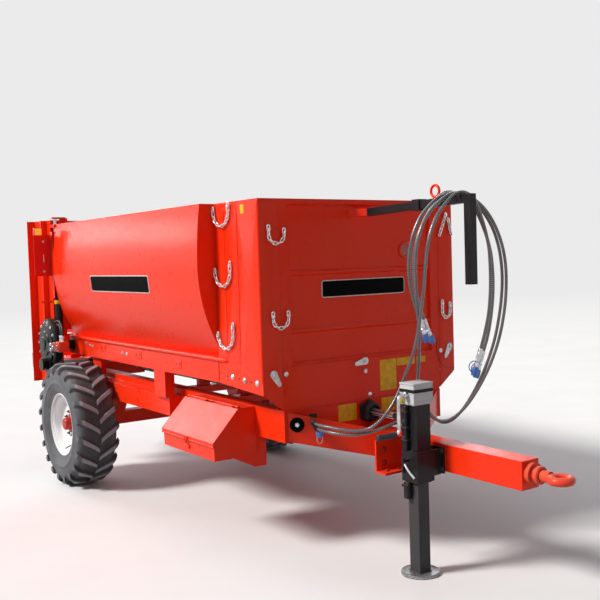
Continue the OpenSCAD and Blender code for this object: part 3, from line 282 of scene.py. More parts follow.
def slab(outline: Array, thickness: float, edge: float = 0.0008) -> Shell:
    """Raise a flat outline to a plate whose rim is rounded by an edge radius.

    Rings of points are the outline drawn in along its own inward normals: centre, underside,
    rim low, rim high, upper side, centre. The outline must be seen whole from its centre.

    Args:
        outline: Closed outline in two columns, anticlockwise.
        thickness: Height along Z, from zero.
        edge: Radius of the rim.

    Returns:
        The closed plate.
    """
    edge = min(edge, thickness / 2.0)
    open_line = outline[:-1]
    step = np.roll(open_line, -1, axis=0) - np.roll(open_line, 1, axis=0)
    inward = unit(np.stack([-step[:, 1], step[:, 0]], axis=1))
    inward = np.vstack([inward, inward[:1]])
    centre = np.repeat(open_line.mean(axis=0)[None], len(outline), axis=0)
    quarter = np.linspace(0, math.pi / 2, 4)
    low = [(outline + inward * edge * (1 - math.sin(q)), edge * (1 - math.cos(q))) for q in quarter]
    high = [(outline + inward * edge * (1 - math.cos(q)), thickness - edge * (1 - math.sin(q))) for q in quarter]
    rows = [(centre, 0.0)] + low + high + [(centre, thickness)]
    surface = np.stack([np.column_stack([flat, np.full(len(flat), z)]) for flat, z in rows])
    return grid(surface, np.stack([surface[..., 0], surface[..., 1]], axis=-1))


def bolt(radius: float, height: float, washer: float = 1.45, sides: int = 6) -> list[Shell]:
    """Return a washer and a hexagon head, both turned round Z, with chamfered upper corners."""
    flat = radius * 0.16
    ring = lathe([(0, 0), (radius * washer, 0), (radius * washer, flat * 0.8), (radius * washer * 0.96, flat),
                  (0, flat)], 24)
    head = lathe([(0, flat), (radius, flat), (radius, height * 0.86), (radius * 0.86, height), (0, height)], sides)
    return [ring, head]


def link(length: float, width: float, rod: float, steps: int = 10, sides: int = 8) -> Shell:
    """Return one chain link in its own X and Y plane: a stadium line with a round section.

    Args:
        length: Outside length, along X.
        width: Outside width, along Y.
        rod: Diameter of the rod.
        steps: Samples on each half turn.
        sides: Faces round the rod.

    Returns:
        The closed link, centred on zero.
    """
    r = (width - rod) / 2
    half = (length - width) / 2
    a = np.linspace(-math.pi / 2, math.pi / 2, steps)
    right = np.stack([half + r * np.cos(a), r * np.sin(a)], axis=1)
    line = np.vstack([right, -right])
    line = np.vstack([line, line[:1]])
    return sweep(np.column_stack([line, np.zeros(len(line))]), circle(rod / 2, sides), ring=True)


def chain(path: Array, pitch: float, width: float, rod: float, start_turn: float = 0.0,
          hint: Sequence[float] = (0.0, 0.0, 1.0)) -> list[Shell]:
    """Lay links on a path, one for each pitch, each turned a quarter against the one before.

    Args:
        path: Line of the chain.
        pitch: Inside length of a link, the step from one to the next.
        width: Outside width of a link.
        rod: Diameter of the rod.
        start_turn: Turn of the first link about the line, in radians.
        hint: Direction that a link turned by a quarter looks.

    Returns:
        One shell for each link.
    """
    run = np.concatenate([[0.0], np.cumsum(np.linalg.norm(np.diff(path, axis=0), axis=1))])
    count = max(int(run[-1] / pitch), 1)
    at = (np.arange(count) + 0.5) * run[-1] / count
    centre = np.stack([np.interp(at, run, path[:, k]) for k in range(3)], axis=1)
    _, across, over = path_frames(path, hint)
    links = []
    for i, s in enumerate(at):
        side = np.array([np.interp(s, run, across[:, k]) for k in range(3)])
        top = np.array([np.interp(s, run, over[:, k]) for k in range(3)])
        turn = start_turn + (i % 2) * math.pi / 2
        normal = side * math.cos(turn) + top * math.sin(turn)
        tangent = np.cross(side, top)
        links.append(link(pitch + 2 * rod * 0.94, width, rod).placed(centre[i], tangent, normal))
    return links


def weld_mesh(shell: Shell) -> tuple[Array, NDArray[np.int64], NDArray[np.int64], Array]:
    """Merge a shell's equal points and drop the corners that collapse.

    Args:
        shell: The shell, seams and poles doubled.

    Returns:
        Points, corner numbers in a row, each face's corner count, and the UV of each corner.
    """
    keys = np.round(shell.points / 2e-6).astype(np.int64)
    _, first, inverse = np.unique(keys, axis=0, return_index=True, return_inverse=True)
    corner = inverse.reshape(-1)[shell.quads]
    keep = corner != np.roll(corner, -1, axis=1)
    size = keep.sum(axis=1)
    whole = size >= 3
    keep &= whole[:, None]
    return shell.points[first], corner[keep], size[whole], shell.uv[shell.quads][keep]


def piece(name: str, shells: Iterable[Shell], finish: bpy.types.Material, body: str,
          crease: float = 35.0) -> bpy.types.Object:
    """Make one object of shells, dress it and let it ride on a body.

    Args:
        name: The object's name.
        shells: Its surfaces, already in the row frame.
        finish: Its material.
        body: The body it moves with.
        crease: Angle in degrees above which an edge stays sharp.

    Returns:
        The new object.
    """
    parts = [weld_mesh(shell.outward()) for shell in shells]
    start = np.cumsum([0] + [len(part[0]) for part in parts])
    corners = np.concatenate([part[1] + start[i] for i, part in enumerate(parts)])
    sizes = np.concatenate([part[2] for part in parts])
    points = np.vstack([part[0] for part in parts]).astype(np.float32)
    mesh = bpy.data.meshes.new(name)
    mesh.vertices.add(len(points))
    mesh.vertices.foreach_set("co", points.ravel())
    mesh.loops.add(len(corners))
    mesh.loops.foreach_set("vertex_index", corners.astype(np.int32))
    mesh.polygons.add(len(sizes))
    mesh.polygons.foreach_set("loop_start", np.concatenate([[0], np.cumsum(sizes)[:-1]]).astype(np.int32))
    mesh.update(calc_edges=True)
    layer = mesh.uv_layers.new(name="UVMap")
    layer.data.foreach_set("uv", np.vstack([part[3] for part in parts]).astype(np.float32).ravel())
    mesh.validate()
    mesh.shade_smooth()
    mesh.set_sharp_from_angle(angle=math.radians(crease))
    obj = bpy.data.objects.new(name, mesh)
    bpy.context.scene.collection.objects.link(obj)
    mesh.materials.append(finish)
    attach(obj, body)
    LOG.info("%s: %d points, %d faces, on %s", name, len(points), len(sizes), body)
    return obj


# ---------------------------------------------------------------- finishes


def shade(red: float, green: float, blue: float) -> tuple[float, float, float, float]:
    """Turn screen values 0 to 255 into the linear colour of a node socket.

    Each share c becomes c / 12.92 below 0.04045, and ((c + 0.055) / 1.055) to the power 2.4 above.
    """
    c = np.array([red, green, blue], float) / 255.0
    linear = np.where(c <= 0.04045, c / 12.92, ((c + 0.055) / 1.055) ** 2.4)
    return (*map(float, linear), 1.0)


Socket = bpy.types.NodeSocket


class Recipe:
    """Node tree of one material, ending in one Principled shader."""

    def __init__(self, name: str) -> None:
        """Start an empty tree with its shader and output."""
        self.material = bpy.data.materials.new(name)
        self.material.use_nodes = True
        self.tree = self.material.node_tree
        self.tree.nodes.clear()
        self.shader = self.tree.nodes.new("ShaderNodeBsdfPrincipled")
        out = self.tree.nodes.new("ShaderNodeOutputMaterial")
        self.tree.links.new(self.shader.outputs["BSDF"], out.inputs["Surface"])
        self.place = self.tree.nodes.new("ShaderNodeTexCoord").outputs["Object"]

    def node(self, kind: str, **settings: object) -> bpy.types.Node:
        """Add a node of a kind and set its properties."""
        new = self.tree.nodes.new(kind)
        for key, value in settings.items():
            setattr(new, key, value)
        return new

    def set(self, **sockets: object) -> None:
        """Set constants on the shader's own sockets, with underscores for spaces in their names."""
        for key, value in sockets.items():
            self.shader.inputs[key.replace("_", " ")].default_value = value

    def join(self, source: Socket, target: Socket) -> None:
        """Link two sockets."""
        self.tree.links.new(source, target)

    def scaled(self, stretch: Point, source: Optional[Socket] = None, turn: Point = (0.0, 0.0, 0.0)) -> Socket:
        """Return the place coordinates stretched and turned by a Mapping node."""
        mapping = self.node("ShaderNodeMapping")
        mapping.inputs["Scale"].default_value = stretch
        mapping.inputs["Rotation"].default_value = turn
        self.join(source or self.place, mapping.inputs["Vector"])
        return mapping.outputs["Vector"]

    def noise(self, scale: float, detail: float = 4.0, rough: float = 0.55, place: Optional[Socket] = None) -> Socket:
        """Return a noise value that varies scale times a metre."""
        noise = self.node("ShaderNodeTexNoise")
        noise.inputs["Scale"].default_value = scale
        noise.inputs["Detail"].default_value = detail
        noise.inputs["Roughness"].default_value = rough
        self.join(place or self.place, noise.inputs["Vector"])
        return noise.outputs["Fac"]

    def cells(self, scale: float, feature: str = "F1", output: str = "Distance",
              place: Optional[Socket] = None) -> Socket:
        """Return a cell pattern's distance or colour."""
        cell = self.node("ShaderNodeTexVoronoi", feature=feature)
        cell.inputs["Scale"].default_value = scale
        self.join(place or self.place, cell.inputs["Vector"])
        return cell.outputs[output]

    def waves(self, scale: float, place: Socket, direction: str = "X", distortion: float = 0.0) -> Socket:
        """Return plain stripes across a direction."""
        wave = self.node("ShaderNodeTexWave", wave_type="BANDS", bands_direction=direction)
        wave.inputs["Scale"].default_value = scale
        wave.inputs["Distortion"].default_value = distortion
        self.join(place, wave.inputs["Vector"])
        return wave.outputs["Fac"]

    def span(self, value: Socket, low: float, high: float, to_low: float = 0.0, to_high: float = 1.0) -> Socket:
        """Map a value from one range to another, held at both ends."""
        node = self.node("ShaderNodeMapRange", clamp=True)
        for key, number in (("From Min", low), ("From Max", high), ("To Min", to_low), ("To Max", to_high)):
            node.inputs[key].default_value = number
        self.join(value, node.inputs["Value"])
        return node.outputs["Result"]

    def times(self, one: Socket, two: "Socket | float", operation: str = "MULTIPLY") -> Socket:
        """Combine two values by an arithmetic operation."""
        node = self.node("ShaderNodeMath", operation=operation)
        self.join(one, node.inputs[0])
        if isinstance(two, (int, float)):
            node.inputs[1].default_value = float(two)
        else:
            self.join(two, node.inputs[1])
        return node.outputs[0]

    def mix(self, share: Socket, one: "Socket | Sequence[float]", two: "Socket | Sequence[float]") -> Socket:
        """Blend two colours by a share."""
        node = self.node("ShaderNodeMix", data_type="RGBA")
        self.join(share, node.inputs["Factor"])
        for source, target in ((one, node.inputs[6]), (two, node.inputs[7])):
            if isinstance(source, Socket):
                self.join(source, target)
            else:
                target.default_value = tuple(source)
        return node.outputs[2]

    def upward(self) -> Socket:
        """Return how far the surface looks up: 1 on top, 0 on a wall, -1 below."""
        geometry = self.node("ShaderNodeNewGeometry")
        split = self.node("ShaderNodeSeparateXYZ")
        self.join(geometry.outputs["Normal"], split.inputs[0])
        return split.outputs["Z"]

    def height_of(self, source: Optional[Socket] = None, axis: str = "Z") -> Socket:
        """Return one coordinate of the place."""
        split = self.node("ShaderNodeSeparateXYZ")
        self.join(source or self.place, split.inputs[0])
        return split.outputs[axis]

    def relief(self, layers: Sequence[tuple[Socket, float, float]], edge: float = 0.0) -> None:
        """Stack bump layers, each a height, a strength and a distance, over softened edges.

        Args:
            layers: Height socket, strength and distance in metres of each layer.
            edge: Radius over which edges look rounded, or 0.
        """
        normal: Optional[Socket] = None
        if edge > 0.0:
            bevel = self.node("ShaderNodeBevel", samples=4)
            bevel.inputs["Radius"].default_value = edge
            normal = bevel.outputs["Normal"]
        for height, strength, distance in layers:
            bump = self.node("ShaderNodeBump")
            bump.inputs["Strength"].default_value = strength
            bump.inputs["Distance"].default_value = distance
            self.join(height, bump.inputs["Height"])
            if normal is not None:
                self.join(normal, bump.inputs["Normal"])
            normal = bump.outputs["Normal"]
        if normal is not None:
            self.join(normal, self.shader.inputs["Normal"])


class Metal(Enum):
    """How a bare metal surface is made."""

    BRIGHT = "plated or chromed"
    GALVANISED = "hot zinc with crystals"
    DULL = "worn steel with rust"


@dataclass(frozen=True)
class PaintFinish:
    """Sprayed machine paint with faded patches, dust on top faces, worn edges and a soft gloss.

    Attributes:
        name: The material's name.
        base: Screen colour of the sound paint.
        faded: Screen colour where sun and rain have dulled it.
        rough: Roughness of the gloss.
        dust: Share of dust on upward faces.
        wear: Share of chips along edges.
        coat: Weight of the clear gloss on top.
    """

    name: str
    base: Colour
    faded: Colour
    rough: float = 0.25
    dust: float = 0.08
    wear: float = 0.3
    coat: float = 0.12

    def build(self) -> bpy.types.Material:
        """Make the material.

        Returns:
            The material; base and faded mix by a slow noise, dust follows the upward normal, and
            the chips are the places where the rounded normal leaves the true one.
        """
        r = Recipe(self.name)
        patches = r.span(r.noise(1.7, 5.0, 0.6), 0.38, 0.72)
        colour = r.mix(patches, shade(*self.base), shade(*self.faded))
        streaks = r.noise(9.0, 5.0, 0.62, r.scaled((1.0, 1.0, 0.14)))
        run = r.span(streaks, 0.56, 0.82, 0.0, 0.1)
        darker = tuple(c * 0.5 for c in self.base)
        colour = r.mix(run, colour, shade(*darker))
        film = r.times(r.span(r.upward(), 0.35, 0.95), r.span(r.noise(13.0, 6.0, 0.65), 0.36, 0.7, 0.15, 1.0))
        colour = r.mix(r.times(film, self.dust), colour, shade(176, 150, 128))
        bevel = r.node("ShaderNodeBevel", samples=8)
        bevel.inputs["Radius"].default_value = 0.0035
        geometry = r.node("ShaderNodeNewGeometry")
        turn = r.node("ShaderNodeVectorMath", operation="DOT_PRODUCT")
        r.join(bevel.outputs["Normal"], turn.inputs[0])
        r.join(geometry.outputs["Normal"], turn.inputs[1])
        worn = r.span(turn.outputs["Value"], 0.97, 0.78)
        chips = r.times(worn, r.span(r.noise(46.0, 4.0, 0.7), 0.5, 0.62))
        colour = r.mix(r.times(chips, self.wear), colour, shade(120, 96, 88))
        r.join(colour, r.shader.inputs["Base Color"])
        dull = r.times(r.span(r.noise(21.0, 4.0), 0.3, 0.7, 0.0, 0.14), self.rough, "ADD")
        r.join(r.times(r.times(film, self.dust), dull, "ADD"), r.shader.inputs["Roughness"])
        r.set(Coat_Weight=self.coat, Coat_Roughness=0.14, IOR=1.48, Specular_IOR_Level=0.14)
        r.relief([(r.noise(5.0, 2.0, 0.5), 0.03, 0.004)], edge=0.0022)
        return r.material


@dataclass(frozen=True)
class MetalFinish:
    """Bare metal: plated, galvanised or dull.

    Attributes:
        name: The material's name.
        base: Screen colour of the metal.
        kind: How the surface is made.
        rough: Roughness of the metal.
        rust: Share of rust spots.
    """

    name: str
    base: Colour
    kind: Metal
    rough: float = 0.28
    rust: float = 0.0

    def build(self) -> bpy.types.Material:
        """Make the material.

        Returns:
            The material; galvanised metal shows crystals from a cell pattern, dull metal rust
            from a slow noise, and all of it fine scratches along one way.
        """
        r = Recipe(self.name)
        low = tuple(c * 0.72 for c in self.base)
        if self.kind is Metal.GALVANISED:
            crystal = r.height_of(r.cells(160.0, output="Color"), "X")
            share = r.span(crystal, 0.0, 1.0)
        else:
            share = r.span(r.noise(24.0, 5.0, 0.6), 0.3, 0.72)
        colour = r.mix(share, shade(*low), shade(*self.base))
        spots = r.span(r.noise(38.0, 6.0, 0.7), 0.52, 0.66, 0.0, self.rust)
        colour = r.mix(spots, colour, shade(92, 52, 34))
        r.join(colour, r.shader.inputs["Base Color"])
        metal = {Metal.BRIGHT: 1.0, Metal.GALVANISED: 0.85, Metal.DULL: 0.6}[self.kind]
        r.join(r.span(spots, 0.0, 1.0, metal, 0.1), r.shader.inputs["Metallic"])
        grain = r.noise(60.0, 4.0, 0.6, r.scaled((1.0, 6.0, 6.0)))
        r.join(r.times(r.span(grain, 0.3, 0.7, 0.0, 0.16), self.rough, "ADD"), r.shader.inputs["Roughness"])
        strength = {Metal.BRIGHT: 0.04, Metal.GALVANISED: 0.12, Metal.DULL: 0.3}[self.kind]
        r.relief([(r.noise(260.0, 3.0, 0.6), strength, 0.0006)], edge=0.0012)
        return r.material


@dataclass(frozen=True)
class RubberFinish:
    """Tyre rubber: matt and grey on the carcass, paler on top of the lugs for rubbed wear and painted highlight, and
    darkened in the grooves by painted shade.
    """

    name: str = "tyre_rubber"
    base: Colour = (78, 79, 84)
    dusty: Colour = (124, 124, 128)
    # Lug-top colour: rubbed wear and painted highlight together.
    worn: Colour = (164, 166, 172)
    axle: Point = (1.217, 0.0, -0.4225)
    lug_top: tuple[float, float] = (0.4125, 0.4195)

    def build(self) -> bpy.types.Material:
        """Make the material.

        Returns:
            The material; dust patches come from two noises. Painted shade darkens the groove floors between the lugs,
            and the lug tops are paler for rubbed wear and painted highlight; both follow the distance to the axle, the
            length of the place with the axle as zero and no part across.
        """
        r = Recipe(self.name)
        patches = r.span(r.noise(7.0, 7.0, 0.68), 0.4, 0.68)
        fine = r.span(r.noise(85.0, 4.0, 0.7), 0.35, 0.7, 0.35, 1.0)
        colour = r.mix(r.times(patches, fine), shade(*self.base), shade(*self.dusty))
        mapping = r.node("ShaderNodeMapping")
        mapping.inputs["Location"].default_value = self.axle
        mapping.inputs["Scale"].default_value = (1.0, 0.0, 1.0)
        r.join(r.place, mapping.inputs["Vector"])
        reach = r.node("ShaderNodeVectorMath", operation="LENGTH")
        r.join(mapping.outputs["Vector"], reach.inputs[0])
        # Painted shade: the groove floors between the lugs are darkened, picked out by their distance from the axle.
        side = r.span(reach.outputs["Value"], 0.396, 0.3982)
        dark = r.times(side, r.span(reach.outputs["Value"], 0.404, 0.401))
        colour = r.mix(r.times(dark, 0.45), colour, shade(30, 29, 31))
        # Lug tops paler: partly rubbed wear, partly painted highlight.
        top = r.times(r.span(reach.outputs["Value"], *self.lug_top), r.span(fine, 0.3, 1.0, 0.75, 1.0))
        colour = r.mix(top, colour, shade(*self.worn))
        r.join(colour, r.shader.inputs["Base Color"])
        r.join(r.span(patches, 0.0, 1.0, 0.55, 0.8), r.shader.inputs["Roughness"])
        r.set(Specular_IOR_Level=0.35)
        r.relief([(r.noise(330.0, 3.0, 0.6), 0.22, 0.0008), (r.noise(38.0, 3.0, 0.5), 0.1, 0.002)], edge=0.0012)
        return r.material


@dataclass(frozen=True)
class HoseFinish:
    """Hose cover with a spiral band wound round it, read from the tube's own UV in metres."""

    name: str = "hose_cover"
    base: Colour = (66, 62, 66)
    band: Colour = (142, 137, 141)
    pitch: float = 0.0095

    def build(self) -> bpy.types.Material:
        """Make the material: the band is a wave across U and V together, so it climbs as it turns."""
        r = Recipe(self.name)
        uv = r.node("ShaderNodeTexCoord").outputs["UV"]
        around = TAU * 0.008
        wave = r.node("ShaderNodeTexWave", wave_type="BANDS", bands_direction="X")
        wave.inputs["Scale"].default_value = 1.0
        spiral = r.scaled((TAU / 20.0 / around, TAU / 20.0 / self.pitch, 1.0), uv)
        split = r.node("ShaderNodeSeparateXYZ")
        r.join(spiral, split.inputs[0])
        both = r.node("ShaderNodeCombineXYZ")
        r.join(r.times(split.outputs["X"], split.outputs["Y"], "ADD"), both.inputs["X"])
        r.join(both.outputs[0], wave.inputs["Vector"])
        stripe = r.span(wave.outputs["Fac"], 0.35, 0.9)
        grime = r.span(r.noise(26.0, 5.0, 0.65), 0.36, 0.7)
        band = r.mix(grime, shade(*self.band), shade(*[c * 0.66 for c in self.band]))
        colour = r.mix(stripe, shade(*self.base), band)
        r.join(colour, r.shader.inputs["Base Color"])
        r.join(r.span(grime, 0.0, 1.0, 0.18, 0.36), r.shader.inputs["Roughness"])
        r.set(Coat_Weight=0.5, Coat_Roughness=0.12)
        weave = r.waves(150.0, uv, "DIAGONAL")
        r.relief([(weave, 0.1, 0.0004), (stripe, 0.2, 0.0006)])
        return r.material


@dataclass(frozen=True)
class PlasticFinish:
    """Moulded plastic or a plain plate: nearly even, with a soft mottle and fine grain.

    Attributes:
        name: The material's name.
        base: Screen colour.
        rough: Roughness.
        coat: Weight of gloss on top.
        dust: Share of dust in its hollows.
        shine: Strength of the mirror-like part.
    """

    name: str
    base: Colour
    rough: float = 0.42
    coat: float = 0.0
    dust: float = 0.3
    shine: float = 0.3

    def build(self) -> bpy.types.Material:
        """Make the material."""
        r = Recipe(self.name)
        mottle = r.span(r.noise(31.0, 5.0, 0.62), 0.35, 0.72)
        colour = r.mix(mottle, shade(*self.base), shade(*[c * 0.8 for c in self.base]))
        grit = r.times(r.span(r.upward(), 0.3, 0.98), r.span(r.noise(70.0, 5.0, 0.7), 0.45, 0.7))
        colour = r.mix(r.times(grit, self.dust), colour, shade(150, 138, 126))
        r.join(colour, r.shader.inputs["Base Color"])
        r.join(r.times(r.span(mottle, 0.0, 1.0, 0.0, 0.12), self.rough, "ADD"), r.shader.inputs["Roughness"])
        r.set(Coat_Weight=self.coat, Coat_Roughness=0.08, Specular_IOR_Level=self.shine)
        r.relief([(r.noise(420.0, 2.0, 0.5), 0.1, 0.0005)], edge=0.0012)
        return r.material


@dataclass(frozen=True)
class LensFinish:
    """Ribbed lamp lens: glossy, with upright ribs pressed in.

    Attributes:
        name: The material's name.
        base: Screen colour of the lens.
        ribs: Ribs in a metre.
        glow: Strength of a painted glow, an emission that stands in for light coming through the lens from behind.
    """

    name: str
    base: Colour
    ribs: float = 150.0
    glow: float = 0.0

    def build(self) -> bpy.types.Material:
        """Make the material: ribs are stripes across X and Y, with a lighter core between them."""
        r = Recipe(self.name)
        stripes = r.waves(self.ribs / 3.2, r.place, "DIAGONAL")
        colour = r.mix(r.span(stripes, 0.2, 0.9), shade(*[c * 0.62 for c in self.base]), shade(*self.base))
        r.join(colour, r.shader.inputs["Base Color"])
        # Painted glow: the lens emits its own colour at strength glow, though no lamp is lit.
        r.join(colour, r.shader.inputs["Emission Color"])
        r.join(r.span(r.noise(40.0, 3.0), 0.3, 0.7, 0.1, 0.2), r.shader.inputs["Roughness"])
        r.set(Coat_Weight=0.6, Coat_Roughness=0.05, IOR=1.49, Emission_Strength=self.glow)
        r.relief([(stripes, 0.4, 0.0012)])
        return r.material


class Paints:
    """All finishes of the machine, each made once."""

    def __init__(self) -> None:
        """Build every material of the machine."""
        self.red = PaintFinish("machine_red", (245, 48, 14), (240, 54, 20)).build()
        self.deep_red = PaintFinish("board_red", (232, 34, 30), (216, 40, 36), rough=0.3).build()
        self.worn_red = PaintFinish("worn_red", (240, 70, 44), (222, 92, 70), wear=0.8, dust=0.25).build()
        self.hub_red = PaintFinish("hub_red", (190, 34, 28), (170, 48, 40)).build()
        self.rim_white = PaintFinish("rim_grey", (246, 246, 248), (234, 234, 236), rough=0.34, dust=0.12,
                                     wear=0.15).build()
        self.black = PaintFinish("black_paint", (29, 26, 30), (44, 40, 43), rough=0.34, dust=0.3).build()
        self.gear = PaintFinish("gear_grey", (13, 13, 15), (24, 23, 25), rough=0.26, dust=0.12).build()
        self.head_grey = PaintFinish("head_grey", (200, 203, 207), (186, 186, 188), rough=0.42, dust=0.2).build()
        self.leg_grey = PaintFinish("leg_grey", (68, 67, 70), (56, 54, 56), rough=0.42, wear=0.6).build()
        self.bright = MetalFinish("bright_zinc", (226, 226, 230), Metal.BRIGHT, 0.24).build()
        self.zinc = MetalFinish("chain_zinc", (250, 248, 250), Metal.GALVANISED, 0.3).build()
        self.steel = MetalFinish("conveyor_steel", (120, 112, 106), Metal.DULL, 0.5, rust=0.55).build()
        self.foot_zinc = MetalFinish("foot_zinc", (168, 171, 172), Metal.GALVANISED, 0.45).build()
        self.lever = MetalFinish("lever_zinc", (212, 212, 214), Metal.GALVANISED, 0.4).build()
        self.rubber = RubberFinish().build()
        self.hose = HoseFinish().build()
        self.guard = PlasticFinish("guard_plastic", (18, 20, 32), 0.4, dust=0.15).build()
        self.blue = PlasticFinish("cap_blue", (74, 132, 224), 0.3, 0.3, 0.1).build()
        self.white = PlasticFinish("strap_white", (232, 230, 224), 0.4).build()
        self.yellow = PlasticFinish("plate_yellow", (255, 196, 30), 0.45, dust=0.1).build()
        self.lemon = PlasticFinish("plug_yellow", (255, 220, 70), 0.3, dust=0.05).build()
        self.plate_black = PlasticFinish("plate_black", (8, 8, 9), 0.6, dust=0.02, shine=0.03).build()
        self.plate_white = PlasticFinish("plate_border", (244, 242, 240), 0.4).build()
        self.grip = PlasticFinish("grip_grey", (48, 50, 58), 0.5).build()
        # Dark finish: real rubber on the hose grommet, and painted shade for the sills' openings, the jack head's slot
        # and the arc round the left cam lever.
        self.dark_rubber_and_hole_shade = PlasticFinish("rubber_and_hole_shade", (20, 12, 12), 0.7).build()
        # The amber lens carries a painted glow: it emits its own colour though no lamp is lit.
        self.amber = LensFinish("amber_lens", (255, 190, 60), glow=0.8).build()
        self.red_lens = LensFinish("red_lens", (196, 20, 22)).build()


def dress_nodes(paints: Paints) -> None:
    """Give every node of the frame its finish.

    Args:
        paints: The machine's finishes.
    """
    special = {
        paints.worn_red: ["tow_eye", "beater_flights_right", "beater_flights_left"],
        paints.deep_red: ["lamp_boards"],
        paints.hub_red: ["hub_right", "hub_left"],
        paints.rim_white: ["rim_right", "rim_left"],
        paints.steel: ["conveyor"],
        paints.black: ["gate_cylinders", "jack_tube", "jack_clamp", "hose_boom", "hose_glands"],
        paints.gear: ["conveyor_drive", "beater_gearbox"],
        paints.head_grey: ["jack_head"],
        paints.leg_grey: ["jack_leg", "drive_shaft"],
        paints.bright: ["gate_rods", "jack_crank", "couplings_p", "couplings_q"],
        paints.lever: ["cam_levers"],
        paints.rubber: ["tyre_right", "tyre_left"],
        paints.guard: ["pto_guard"],
        paints.amber: ["marker_lamps"],
        paints.red_lens: ["rear_lamps"],
        paints.hose: ["hose_p1", "hose_p2", "hose_q1", "hose_q2"],
    }
    finish_of = {name: finish for finish, names in special.items() for name in names}
    for name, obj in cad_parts.items():
        obj.data.materials.clear()
        obj.data.materials.append(finish_of.get(name, paints.red))
    LOG.info("finishes set on %d nodes", len(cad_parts))


# ---------------------------------------------------------------- studio


